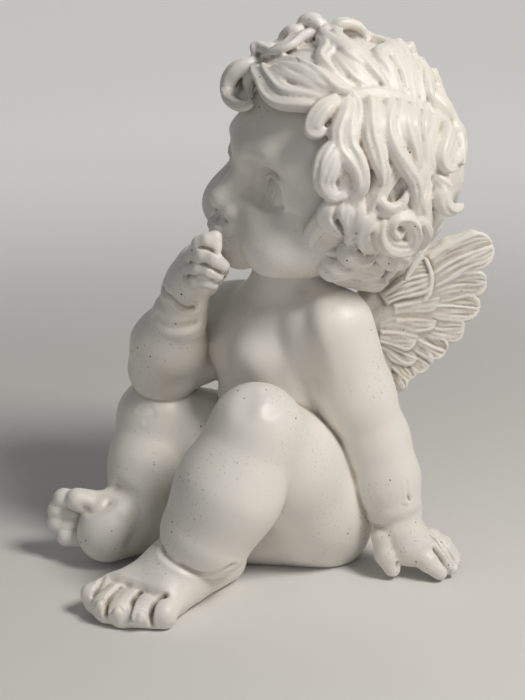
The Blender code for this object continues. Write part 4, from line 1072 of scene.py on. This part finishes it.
def iris_marks(side):
    """A ring and a dot let into the eyeball."""
    centre = np.array((side * (EYEBALL[0] - 0.4), EYEBALL[1], EYEBALL[2] + 0.3))
    front = EYEBALL[1] + EYEBALL[3]

    def distance(x, y, z):
        away = np.sqrt((x - centre[0]) ** 2 + (z - centre[2]) ** 2)
        ring = np.sqrt((away - IRIS_RADIUS) ** 2 + (0.5 * (y - front + 0.3)) ** 2) - 0.32
        dot = np.sqrt(away**2 + (0.7 * (y - front)) ** 2) - PUPIL_RADIUS * 0.7
        return np.minimum(ring, dot)

    low = np.array((centre[0] - 4.0, front - 3.0, centre[2] - 4.0))
    high = np.array((centre[0] + 4.0, front + 2.0, centre[2] + 4.0))
    return distance, low, high


def head_clay(pitch):
    clay = Clay(*HEAD_BLOCK, pitch)
    clay.join(egg(*SKULL), BLEND["skull"])
    clay.join(egg(*JAW), BLEND["jaw"])
    clay.join(ball(CHIN), BLEND["chin"])
    for side in (1.0, -1.0):
        cheek, cheekbone, jowl = on_side(side, (CHEEK, CHEEKBONE, JOWL))
        socket, corner = on_side(side, (EYE_SOCKET[0], EYE_CORNER[0]))
        clay.join(round_cone(cheekbone, jowl), BLEND["cheekbone"])
        clay.join(round_cone(cheek, jowl), BLEND["cheek"])
        clay.limb(on_side(side, BROW), BLEND["brow"])
        clay.carve(egg(socket, EYE_SOCKET[1]), BLEND["eye socket"])
        clay.carve(egg(corner, EYE_CORNER[1]), BLEND["eye corner"])
    clay.join(egg(*MUZZLE), BLEND["muzzle"])
    clay.limb(NOSE_BRIDGE, BLEND["nose"])
    for side in (1.0, -1.0):
        nose_wing, eyeball = on_side(side, (NOSE_WING, EYEBALL))
        clay.join(ball(nose_wing), BLEND["nose wing"])
        clay.limb(on_side(side, UPPER_LIP), BLEND["lip"])
        clay.limb(on_side(side, LOWER_LIP), BLEND["lip"])
        clay.carve(round_cone(*on_side(side, NOSTRIL)), BLEND["nostril"])
        clay.join(eyelids(side), BLEND["eyelid"])
        clay.join(ball(eyeball), BLEND["eyeball"])
        clay.carve(iris_marks(side), BLEND["eyeball"])
    return clay


class FIGURINE_OT_model_head(bpy.types.Operator):
    """Models the head with its face"""

    bl_idname = "figurine.model_head"
    bl_label = "Model Head"

    def execute(self, context):
        points, quads = head_clay(context.scene.figurine_skin.face_pitch / MM).skin()
        points = soften(points, quads, 2)
        normals = corner_normals(points, quads)
        for width, depth, stops in CHEEK_STROKES:
            for side in (1.0, -1.0):
                press(points, normals, (width, depth, on_side(side, stops)))
        for stroke in FACE_STROKES:
            press(points, normals, stroke)
        points = soften(points, quads, 1)
        normals = corner_normals(points, quads)
        fold = HEAD_FOLD_SHARE * folds(points, quads, normals, HEAD_FOLD_ROUNDS)
        material = painted_resin(context.scene.figurine_finish)
        head = make_object("head_skin", from_head(points), quads[:, ::-1].tolist(), fold, material)
        lighten(head, TRIANGLE_LIMIT)
        stand_for(head, "head")
        return {"FINISHED"}


# Hair
def scalp_point(turn, rise, lift):
    """A place off the skull, in head axes; below the nape's bend it hangs nearly straight down."""
    turn = np.radians(turn)
    bent = np.maximum(rise, NAPE_BEND)
    below = bent - rise
    flat = np.cos(np.radians(bent))
    centre, half = SKULL
    x = np.sin(turn) * flat * (half[0] + lift)
    y = np.cos(turn) * flat * (half[1] + lift)
    z = np.sin(np.radians(bent)) * (half[2] + lift)
    tuck = 1.0 - NAPE_TUCK * below
    return np.stack((x * tuck + centre[0], y * tuck + centre[1], z - NAPE_DROP * below + centre[2]), axis=-1)


def lock_strands(width, thickness, stops, chance):
    """A lock over the skull: fine strands side by side, domed across and gathered at the end."""
    count = 10 * len(stops)
    turns = np.degrees(np.unwrap(np.radians([stop[0] for stop in stops])))
    course = smooth_path([(turn, *stop[1:]) for turn, stop in zip(turns, stops)], count)
    path = scalp_point(course[:, 0], course[:, 1], course[:, 2])
    outward = scalp_point(course[:, 0], course[:, 1], course[:, 2] + 1.0) - path
    along = np.gradient(path, axis=0)
    across = np.cross(along, outward)
    across /= np.maximum(np.linalg.norm(across, axis=1), 1e-6)[:, None]
    at = np.linspace(0.0, 1.0, count)
    size = (0.55 + 0.45 * np.clip(at / 0.3, 0.0, 1.0)) * np.sqrt(np.clip(1.08 - at, 0.0, 1.0))
    swell = np.sqrt(np.clip(at / 0.25, 0.0, 1.0)) * 0.5 + 0.5
    taper = 0.12 + 0.88 * np.sqrt(1.0 - at) * (1.35 - 0.35 * at)
    thicknesses = thickness * swell * np.minimum(taper, 1.0)
    yield from strand_row(path, across, outward, width * size, thicknesses, chance)


def strand_row(path, across, outward, widths, thicknesses, chance, style=(STRAND_WIDTH, STRAND_UNEVEN, 0.0)):
    """Fine strands side by side along a path; their style is width, unevenness and tilt across the row."""
    strand_width, uneven, tilt = style
    number = max(1, round(widths.max() / strand_width))
    at = np.linspace(0.0, 1.0, len(path))
    strand_widths = STRAND_OVERLAP * np.maximum(widths, 0.3 * thicknesses) / number
    for strand in range(number):
        share = (2.0 * strand + 1.0) / number - 1.0
        wander = STRAND_WANDER * np.sin(7.0 * at + chance.uniform(0.0, 6.0))
        shift = 0.5 * widths * share + wander
        lift = chance.uniform(-uneven, uneven) + tilt * share - 0.36 * uneven * thicknesses * share * share
        course = path + across * shift[:, None] + outward * lift[:, None]
        yield sweep(course, outward, strand_widths, thicknesses)


def sweep(path, outward, widths, thicknesses):
    """Rings of points round a path, wide across it and thick along the outward direction."""
    count = len(path)
    along = np.gradient(path, axis=0)
    along /= np.linalg.norm(along, axis=1)[:, None]
    across = np.cross(along, outward)
    across /= np.maximum(np.linalg.norm(across, axis=1), 1e-6)[:, None]
    outward = np.cross(across, along)
    sides = SWEEP_SIDES
    angles = np.linspace(0.0, 2.0 * math.pi, sides, endpoint=False)
    wide = 0.5 * widths[:, None] * np.cos(angles)[None, :]
    tall = 0.5 * thicknesses[:, None] * np.sin(angles)[None, :]
    rings = path[:, None, :] + wide[..., None] * across[:, None, :] + tall[..., None] * outward[:, None, :]
    points = np.concatenate((rings.reshape(-1, 3), path[:1], path[-1:]))
    start = np.arange(count - 1)[:, None] * sides
    step = np.arange(sides)[None, :]
    onward = (step + 1) % sides
    walls = np.stack((start + step, start + onward, start + sides + onward, start + sides + step), axis=-1)
    ring = np.arange(0, sides, 2)
    after = (ring + 2) % sides
    top = (count - 1) * sides
    first = np.full(len(ring), count * sides)
    near_cap = np.stack((first, after, ring + 1, ring), axis=-1)
    far_cap = np.stack((first + 1, top + ring, top + ring + 1, top + after), axis=-1)
    return points, np.concatenate((walls.reshape(-1, 4), near_cap, far_cap))


def hairline(turn):
    """The lowest rise of the hair: high over the brow and down to the nape behind the temples."""
    temple = np.where(turn > 0.0, LEFT_TEMPLE, RIGHT_TEMPLE)
    fallen = np.clip((np.abs(turn) - temple) / TEMPLE_SPAN, 0.0, 1.0)
    return BROW_HAIRLINE + (NAPE_HAIRLINE - BROW_HAIRLINE) * fallen


def falling_locks(chance):
    """Waved locks that fall from the crown to the hairline, all round behind the temples."""
    turn = LEFT_TEMPLE + 8.0
    while turn < 360.0 - RIGHT_TEMPLE - 4.0:
        lowest = FALL_SIDE_LOW if turn < FALL_BACK_TURN else FALL_BACK_LOW
        low = max(hairline((turn + 180.0) % 360.0 - 180.0), lowest)
        sway = chance.uniform(0.0, 2.0 * math.pi)
        stops = []
        for stop in range(FALL_STOPS):
            share = stop / (FALL_STOPS - 1)
            rise = FALL_TOP + (low - FALL_TOP) * share
            bend = FALL_WAVE * math.sin(sway + 2.6 * math.pi * share) * (0.4 + 0.6 * share)
            stops.append((turn + bend, rise, 3.5 + 2.5 * math.sin(math.pi * share)))
        yield FALL_WIDTH * chance.uniform(0.85, 1.15), FALL_THICKNESS, tuple(stops)
        turn += FALL_STEP * chance.uniform(0.8, 1.1)


def right_side_locks():
    """The left side's locks mirrored, without those in front of the right temple."""
    for width, thickness, stops in SIDE_LOCKS:
        if min(stop[0] for stop in stops) >= RIGHT_TEMPLE:
            yield width, thickness, tuple((-turn, rise, lift) for turn, rise, lift in stops)


def nape_locks():
    """Locks that fall down the back of the head, ending in flicks to one side."""
    for number in range(NAPE_LOCK_COUNT):
        turn = NAPE_LOCK_START + NAPE_LOCK_SPREAD * number / (NAPE_LOCK_COUNT - 1)
        for row, (top, low) in enumerate(NAPE_LOCK_ROWS):
            aside = 1.0 if (number + row) % 2 else -1.0
            start = turn + 6.0 * (row % 2)
            stops = (
                (start, top, 4.5),
                (start - 3.0 * aside, 0.75 * top + 0.25 * low, 6.5),
                (start - 5.0 * aside, 0.5 * (top + low), 8.0),
                (start + 8.0 * aside, low, 10.5),
            )
            yield NAPE_LOCK_WIDTH, NAPE_LOCK_THICKNESS, stops


def over_locks():
    """Locks that run from the parting over the crown and down the right side."""
    for number in range(OVER_COUNT):
        share = number / (OVER_COUNT - 1)
        start = scalp_point(56.0 + 104.0 * share, 46.0, 0.0) - np.array(SKULL[0])
        end = scalp_point(-26.0 - 110.0 * share, 38.0, 0.0) - np.array(SKULL[0])
        stops = []
        for step in range(OVER_SPANS + 1):
            place = start + (end - start) * step / OVER_SPANS
            place[2] += OVER_ARCH * math.sin(math.pi * step / OVER_SPANS)
            turn = math.degrees(math.atan2(place[0], place[1]))
            rise = math.degrees(math.atan2(place[2], math.hypot(place[0], place[1])))
            stops.append((turn, rise, 3.0 + 2.5 * math.sin(math.pi * step / OVER_SPANS)))
        yield OVER_WIDTH, OVER_THICKNESS, tuple(stops)


def scalp_clay(pitch, low, high):
    """A cap over the skull that sinks under the skin below the hairline."""
    clay = Clay(low, high, pitch)
    centre, half = SKULL
    distance, _, _ = egg(centre, tuple(size + SCALP_LIFT for size in half))
    slices, (x, y, z) = clay.window(low, high, 0.0)
    turn = np.degrees(np.arctan2(x - centre[0], y - centre[1]))
    rise = np.degrees(np.arctan2(z - centre[2], np.hypot(x - centre[0], y - centre[1])))
    clay.field[slices] = np.maximum(distance(x, y, z), (hairline(turn) - rise) * 0.6)
    return clay


class FIGURINE_OT_model_hair(bpy.types.Operator):
    """Models the hair as waved, ridged locks over the skull"""

    bl_idname = "figurine.model_hair"
    bl_label = "Model Hair"

    def execute(self, context):
        pitch = context.scene.figurine_hair.pitch / MM
        chance = np.random.default_rng(HAIR_SEED)
        locks = [*over_locks(), *falling_locks(chance), *nape_locks(), *right_side_locks(), CROWN_BAND]
        locks += [*FRINGE_LOCKS, *FAR_LOCKS, *TOP_LOCKS, *SIDE_LOCKS]
        strands = [strand for lock in locks for strand in lock_strands(*lock, chance)]
        clay = clay_of_strands(strands, *HAIR_BLOCK, pitch)
        clay.field = soft_min(clay.field, scalp_clay(pitch, *HAIR_BLOCK).field, BLEND["scalp"])
        head = head_clay(pitch)
        own, part, _ = clay.shared(head)
        clay.field[own] = np.maximum(clay.field[own], -HAIR_SINK - head.field[part])
        points, quads = clay.skin()
        points = soften(points, quads, 1)
        normals = corner_normals(points, quads)
        fold = folds(points, quads, normals, HAIR_FOLD_ROUNDS)
        material = painted_resin(context.scene.figurine_finish)
        hair = make_object("hair_locks", from_head(points), quads[:, ::-1].tolist(), fold, material)
        lighten(hair, TRIANGLE_LIMIT)
        stand_for(hair, "hair")
        return {"FINISHED"}


# Wings
def wing_axes(side):
    """Root, spread, up and face of a wing; side is 1 on the left and -1 on the right."""
    left, forward, up = torso_axes()
    root = np.array((*CHEST, 0.0)) - forward * WING_ROOT_BACK + left * (side * WING_ROOT_SIDE)
    root[2] = WING_ROOT_HEIGHT
    spread = -forward * math.cos(WING_SWEEP) + left * (side * math.sin(WING_SWEEP))
    return root, np.array((spread, up, np.cross(spread, up) * side))


def feather_strands(stops, width, thickness, lift, face, chance):
    """A flat feather in the wing's plane with lines along its vane, a shaft and a round end."""
    path = smooth_path([(*stop, 0.0) for stop in stops], FEATHER_STEPS)
    at = np.linspace(0.0, 1.0, FEATHER_STEPS)
    path[:, 2] = face * (lift - 0.8 * at * at)
    outward = np.tile((0.0, 0.0, face), (FEATHER_STEPS, 1))
    across = np.cross(np.gradient(path, axis=0), outward)
    across /= np.linalg.norm(across, axis=1)[:, None]
    end = np.sqrt(np.clip(1.0 - (np.maximum(at - 0.78, 0.0) / 0.225) ** 2, 0.0, 1.0))
    widths = (width - 1.0) * (0.6 + 0.4 * np.minimum(at / 0.4, 1.0)) * end
    thicknesses = thickness * (0.35 + 0.65 * end)
    vane = (VANE_WIDTH, VANE_UNEVEN, VANE_TILT * face)
    yield from strand_row(path, across, outward, widths, thicknesses, chance, vane)
    shaft = path + outward * (0.5 * thickness)
    yield sweep(shaft, outward, 1.6 * (1.1 - at), 1.4 * (1.1 - at))


def wing_clay(pitch, thickness):
    chance = np.random.default_rng(WING_SEED)
    strands = []
    for face in (1.0, -1.0):
        for number, (*stops, width) in enumerate(FLIGHT_FEATHERS):
            strands += feather_strands(stops, width, thickness, 0.8 - 0.5 * (number % 2), face, chance)
        for *stops, width, lift in COVERTS:
            strands += feather_strands(stops, width, thickness, lift, face, chance)
    clay = clay_of_strands(strands, *WING_BLOCK, pitch)
    clay.limb(WING_ARM, BLEND["wing"])
    for spread, rise, radius, half in WING_BLADE:
        clay.join(egg((spread, rise, 0.0), (radius, radius, half)), BLEND["wing"])
    for face in (1.0, -1.0):
        rim = smooth_path([(*place, face * WING_RIM_LIFT) for place in WING_RIM], 16)
        clay.limb([(*place, WING_RIM_RADIUS) for place in rim], BLEND["wing rim"])
    return clay


class FIGURINE_OT_model_wings(bpy.types.Operator):
    """Models both wings as layered feathers"""

    bl_idname = "figurine.model_wings"
    bl_label = "Model Wings"

    def execute(self, context):
        settings = context.scene.figurine_wing
        points, quads = wing_clay(settings.pitch / MM, settings.thickness / MM).skin()
        points = soften(points, quads, 1)
        normals = corner_normals(points, quads)
        # The fold depth is raised all over, which paints shade across the whole wing
        fold = WING_FOLD_SHARE * folds(points, quads, normals, WING_FOLD_ROUNDS) + WING_PAINTED_SHADE
        material = painted_resin(context.scene.figurine_finish)
        for node, side in (("left_wing", 1.0), ("right_wing", -1.0)):
            root, axes = wing_axes(side)
            faces = quads if np.linalg.det(axes) > 0.0 else quads[:, ::-1]
            wing = make_object(node + "_feathers", points @ axes + root, faces.tolist(), fold, material)
            stand_for(wing, node)
        return {"FINISHED"}


# Finishes
class Finish:
    """A new material, with short ways to add nodes that read Object coordinates."""

    def __init__(self, name):
        self.material = bpy.data.materials.new(name)
        self.material.use_nodes = True
        self.nodes = self.material.node_tree.nodes
        self.links = self.material.node_tree.links
        self.shader = self.nodes["Principled BSDF"]
        self.place = self.nodes.new("ShaderNodeTexCoord").outputs["Object"]

    def feed(self, socket, value):
        """Links an output to a socket, or sets a number or a colour on the socket itself."""
        if isinstance(value, bpy.types.NodeSocket):
            self.links.new(value, socket)
        elif isinstance(value, tuple):
            socket.default_value = (*value, 1.0)
        else:
            socket.default_value = value

    def noise(self, scale, detail=3.0, rough=0.55):
        node = self.nodes.new("ShaderNodeTexNoise")
        self.links.new(self.place, node.inputs["Vector"])
        for name, number in (("Scale", scale), ("Detail", detail), ("Roughness", rough)):
            node.inputs[name].default_value = number
        return node.outputs["Fac"]

    def ramp(self, value, low, high, start=0.0, end=1.0):
        node = self.nodes.new("ShaderNodeMapRange")
        node.interpolation_type = "SMOOTHSTEP"
        names = ("Value", "From Min", "From Max", "To Min", "To Max")
        for name, number in zip(names, (value, low, high, start, end)):
            self.feed(node.inputs[name], number)
        return node.outputs["Result"]

    def maths(self, operation, first, second):
        node = self.nodes.new("ShaderNodeMath")
        node.operation = operation
        self.feed(node.inputs[0], first)
        self.feed(node.inputs[1], second)
        return node.outputs["Value"]

    def mix(self, share, first, second):
        node = self.nodes.new("ShaderNodeMix")
        node.data_type = "RGBA"
        self.feed(node.inputs[0], share)
        self.feed(node.inputs[6], first)
        self.feed(node.inputs[7], second)
        return node.outputs[2]

    def bump(self, height, strength, distance):
        node = self.nodes.new("ShaderNodeBump")
        for name, value in (("Height", height), ("Strength", strength), ("Distance", distance)):
            self.feed(node.inputs[name], value)
        self.links.new(node.outputs["Normal"], self.shader.inputs["Normal"])


def shaded(colour, shades):
    return tuple(channel * shade for channel, shade in zip(colour, shades))


def painted_resin(settings):
    """Satin ivory paint with dust and painted shade in the folds, near-black painted shade in the deepest
    folds, dust specks and pinholes painted dark as their shade.
    """
    name = "painted_resin_finish"
    if name in bpy.data.materials:
        return bpy.data.materials[name]
    finish = Finish(name)
    noise, ramp, maths, mix = finish.noise, finish.ramp, finish.maths, finish.mix
    paint = tuple(settings.paint)
    # This colour serves the dust specks and the painted shade in the folds
    dust_and_shade_colour = tuple(settings.dust_and_shade_colour)
    fold = finish.nodes.new("ShaderNodeAttribute")
    fold.attribute_name = "fold"
    depth = fold.outputs["Fac"]
    colour = mix(ramp(noise(22.0), 0.35, 0.7), paint, shaded(paint, (0.93, 0.94, 0.97)))
    warm = maths("MULTIPLY", ramp(noise(34.0, 4.0), 0.5, 0.75), 0.6)
    colour = mix(warm, colour, shaded(paint, (1.0, 0.97, 0.89)))
    # Dust and painted shade in the folds: the deeper a fold, the more of the dust colour, broken up by noise
    dust_and_fold_shade = maths("MULTIPLY", ramp(depth, 0.04, 0.42), ramp(noise(70.0, 5.0, 0.65), 0.25, 0.7, 0.45, 1.0))
    colour = mix(maths("MULTIPLY", dust_and_fold_shade, 0.75), colour, dust_and_shade_colour)
    # Near-black painted shade in the deepest folds
    deep_fold_shadow = shaded(dust_and_shade_colour, (0.3, 0.3, 0.3))
    colour = mix(maths("MULTIPLY", ramp(depth, 0.35, 0.95), 0.8), colour, deep_fold_shadow)
    specks = maths("MULTIPLY", ramp(noise(900.0, 2.0), 0.63, 0.72), ramp(noise(26.0, 2.0), 0.44, 0.64))
    colour = mix(maths("MULTIPLY", specks, 0.55), colour, dust_and_shade_colour)
    cells = finish.nodes.new("ShaderNodeTexVoronoi")
    cells.inputs["Scale"].default_value = 360.0
    finish.links.new(finish.place, cells.inputs["Vector"])
    chosen = finish.nodes.new("ShaderNodeSeparateColor")
    finish.links.new(cells.outputs["Color"], chosen.inputs["Color"])
    wanted = maths("LESS_THAN", chosen.outputs["Red"], 0.16)
    clusters = ramp(noise(24.0, 2.0), 0.54, 0.62)
    middle = ramp(cells.outputs["Distance"], 0.1, 0.17, 1.0, 0.0)
    hole = maths("MULTIPLY", middle, maths("MULTIPLY", wanted, clusters))
    # Pinholes painted near-black as the shade inside them; the bump below also dents them
    colour = mix(hole, colour, (0.05, 0.04, 0.035))
    finish.links.new(colour, finish.shader.inputs["Base Color"])
    sheen = maths("ADD", ramp(noise(60.0, 4.0), 0.3, 0.7, 0.36, 0.5), maths("MULTIPLY", dust_and_fold_shade, 0.25))
    finish.links.new(sheen, finish.shader.inputs["Roughness"])
    fine = maths("MULTIPLY", noise(420.0, 3.0), 0.25)
    grain = maths("ADD", fine, maths("MULTIPLY", noise(60.0, 2.0), 0.75))
    finish.bump(maths("SUBTRACT", grain, maths("MULTIPLY", hole, 1.5)), 0.25, 0.4 * MM)
    return finish.material


def plain_finish(name, colour, roughness, metallic, scale, strength):
    """A material with fine grain in its colour and its relief."""
    finish = Finish(name)
    finish.shader.inputs["Roughness"].default_value = roughness
    finish.shader.inputs["Metallic"].default_value = metallic
    grain = finish.noise(scale, 4.0, 0.5)
    dark = shaded(colour, (0.8, 0.8, 0.8))
    light = tuple(min(1.0, channel * 1.2) for channel in colour)
    finish.links.new(finish.mix(grain, dark, light), finish.shader.inputs["Base Color"])
    finish.bump(grain, strength, 0.3 * MM)
    return finish.material


class FIGURINE_OT_finish_seat(bpy.types.Operator):
    """Finishes the felt pad, the plug and the dowels"""

    bl_idname = "figurine.finish_seat"
    bl_label = "Finish Seat"

    def execute(self, context):
        felt = plain_finish("pressed_felt", (0.10, 0.11, 0.10), 0.95, 0.0, 1800.0, 0.6)
        resin = plain_finish("bare_resin", (0.66, 0.62, 0.54), 0.6, 0.0, 260.0, 0.3)
        steel = plain_finish("dowel_rod", (0.55, 0.55, 0.56), 0.35, 1.0, 900.0, 0.15)
        for node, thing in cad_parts.items():
            if node.endswith("_dowel"):
                thing.data.materials.clear()
                thing.data.materials.append(steel)
        for node, material in (("seat_felt", felt), ("seat_plug", resin)):
            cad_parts[node].data.materials.clear()
            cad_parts[node].data.materials.append(material)
        return {"FINISHED"}


# Stage
def soft_lamp(name, place, size, colour, power):
    bpy.ops.object.light_add(type="AREA", location=place)
    lamp = bpy.context.object
    lamp.name = name
    lamp.data.shape = "DISK"
    lamp.data.size = size
    lamp.data.energy = power
    lamp.data.color = colour
    lamp.rotation_euler = (Vector(LAMP_AIM) - Vector(place)).to_track_quat("-Z", "Y").to_euler()


def floor_paper(settings):
    """Plain pale paper that keeps its tone towards the back, where the lamps no longer reach."""
    finish = Finish("floor_paper")
    floor = tuple(settings.floor)
    for name, value in (("Base Color", floor), ("Roughness", 0.9), ("Emission Color", floor)):
        finish.feed(finish.shader.inputs[name], value)
    away = finish.nodes.new("ShaderNodeVectorMath")
    away.operation = "LENGTH"
    finish.links.new(finish.place, away.inputs[0])
    glow = finish.ramp(away.outputs["Value"], 0.1, 1.3, 0.0, settings.backdrop)
    rays = finish.nodes.new("ShaderNodeLightPath").outputs
    seen = finish.maths("ADD", rays["Is Camera Ray"], rays["Is Glossy Ray"])
    seen = finish.maths("ADD", seen, rays["Is Transmission Ray"])
    finish.links.new(finish.maths("MULTIPLY", seen, glow), finish.shader.inputs["Emission Strength"])
    return finish.material


class FIGURINE_OT_set_stage(bpy.types.Operator):
    """Sets the pale floor, the soft lights and the camera"""

    bl_idname = "figurine.set_stage"
    bl_label = "Set Stage"

    def execute(self, context):
        scene = context.scene
        settings = scene.figurine_stage
        bpy.ops.object.select_all(action="DESELECT")
        bpy.ops.mesh.primitive_plane_add(size=FLOOR_SIZE, location=(0.0, 0.0, 0.0))
        floor = context.object
        floor.name = "floor"
        bpy.ops.object.mode_set(mode="EDIT")
        bpy.ops.mesh.select_all(action="DESELECT")
        bpy.ops.object.mode_set(mode="OBJECT")
        for edge in floor.data.edges:
            edge.select = all(floor.data.vertices[corner].co.y > 0.0 for corner in edge.vertices)
        bpy.ops.object.mode_set(mode="EDIT")
        bpy.ops.mesh.select_mode(type="EDGE")
        bpy.ops.transform.translate(value=(0.0, WALL_DISTANCE - 0.5 * FLOOR_SIZE, 0.0))
        bpy.ops.mesh.extrude_region_move(TRANSFORM_OT_translate={"value": (0.0, 0.0, WALL_HEIGHT)})
        bpy.ops.object.mode_set(mode="OBJECT")
        bpy.ops.object.modifier_add(type="BEVEL")
        floor.modifiers["Bevel"].width = WALL_CURVE
        floor.modifiers["Bevel"].segments = WALL_SEGMENTS
        bpy.ops.object.modifier_apply(modifier="Bevel")
        bpy.ops.object.shade_smooth()
        floor.data.materials.append(floor_paper(settings))
        soft_lamp("key", *KEY_LAMP, settings.key)
        soft_lamp("fill", *FILL_LAMP, settings.fill)
        soft_lamp("top", *TOP_LAMP, TOP_SHARE * settings.fill)
        world = bpy.data.worlds.new("studio")
        world.use_nodes = True
        world.node_tree.nodes["Background"].inputs["Color"].default_value = WORLD_COLOUR
        world.node_tree.nodes["Background"].inputs["Strength"].default_value = WORLD_STRENGTH
        scene.world = world
        turn = (math.pi / 2.0 - CAMERA_DOWN, 0.0, 0.0)
        bpy.ops.object.camera_add(location=Vector(CAMERA_PLACE) * MM, rotation=turn)
        camera = context.object
        camera.data.sensor_fit = "VERTICAL"
        camera.data.sensor_height = CAMERA_SENSOR
        camera.data.lens = CAMERA_LENS
        scene.camera = camera
        scene.view_settings.view_transform = "Standard"
        return {"FINISHED"}


class FIGURINE_PT_panel(bpy.types.Panel):
    """Lists the figurine's steps"""

    bl_idname = "FIGURINE_PT_panel"
    bl_label = "Figurine"
    bl_space_type = "VIEW_3D"
    bl_region_type = "UI"
    bl_category = "Figurine"

    def draw(self, context):
        for step in STEPS:
            self.layout.operator(step.bl_idname)


STEPS = (
    FIGURINE_OT_model_skin,
    FIGURINE_OT_model_head,
    FIGURINE_OT_model_hair,
    FIGURINE_OT_model_wings,
    FIGURINE_OT_finish_seat,
    FIGURINE_OT_set_stage,
)
SETTINGS = {
    "figurine_skin": SkinSettings,
    "figurine_hair": HairSettings,
    "figurine_wing": WingSettings,
    "figurine_finish": FinishSettings,
    "figurine_stage": StageSettings,
}


def register():
    for name, group in SETTINGS.items():
        bpy.utils.register_class(group)
        setattr(bpy.types.Scene, name, bpy.props.PointerProperty(type=group))
    for step in STEPS:
        bpy.utils.register_class(step)
    bpy.utils.register_class(FIGURINE_PT_panel)


def unregister():
    bpy.utils.unregister_class(FIGURINE_PT_panel)
    for step in reversed(STEPS):
        bpy.utils.unregister_class(step)
    for name, group in reversed(SETTINGS.items()):
        delattr(bpy.types.Scene, name)
        bpy.utils.unregister_class(group)


def main():
    register()
    bpy.ops.figurine.model_skin()
    bpy.ops.figurine.model_head()
    bpy.ops.figurine.model_hair()
    bpy.ops.figurine.model_wings()
    bpy.ops.figurine.finish_seat()
    bpy.ops.figurine.set_stage()


if __name__ == "__main__":
    main()
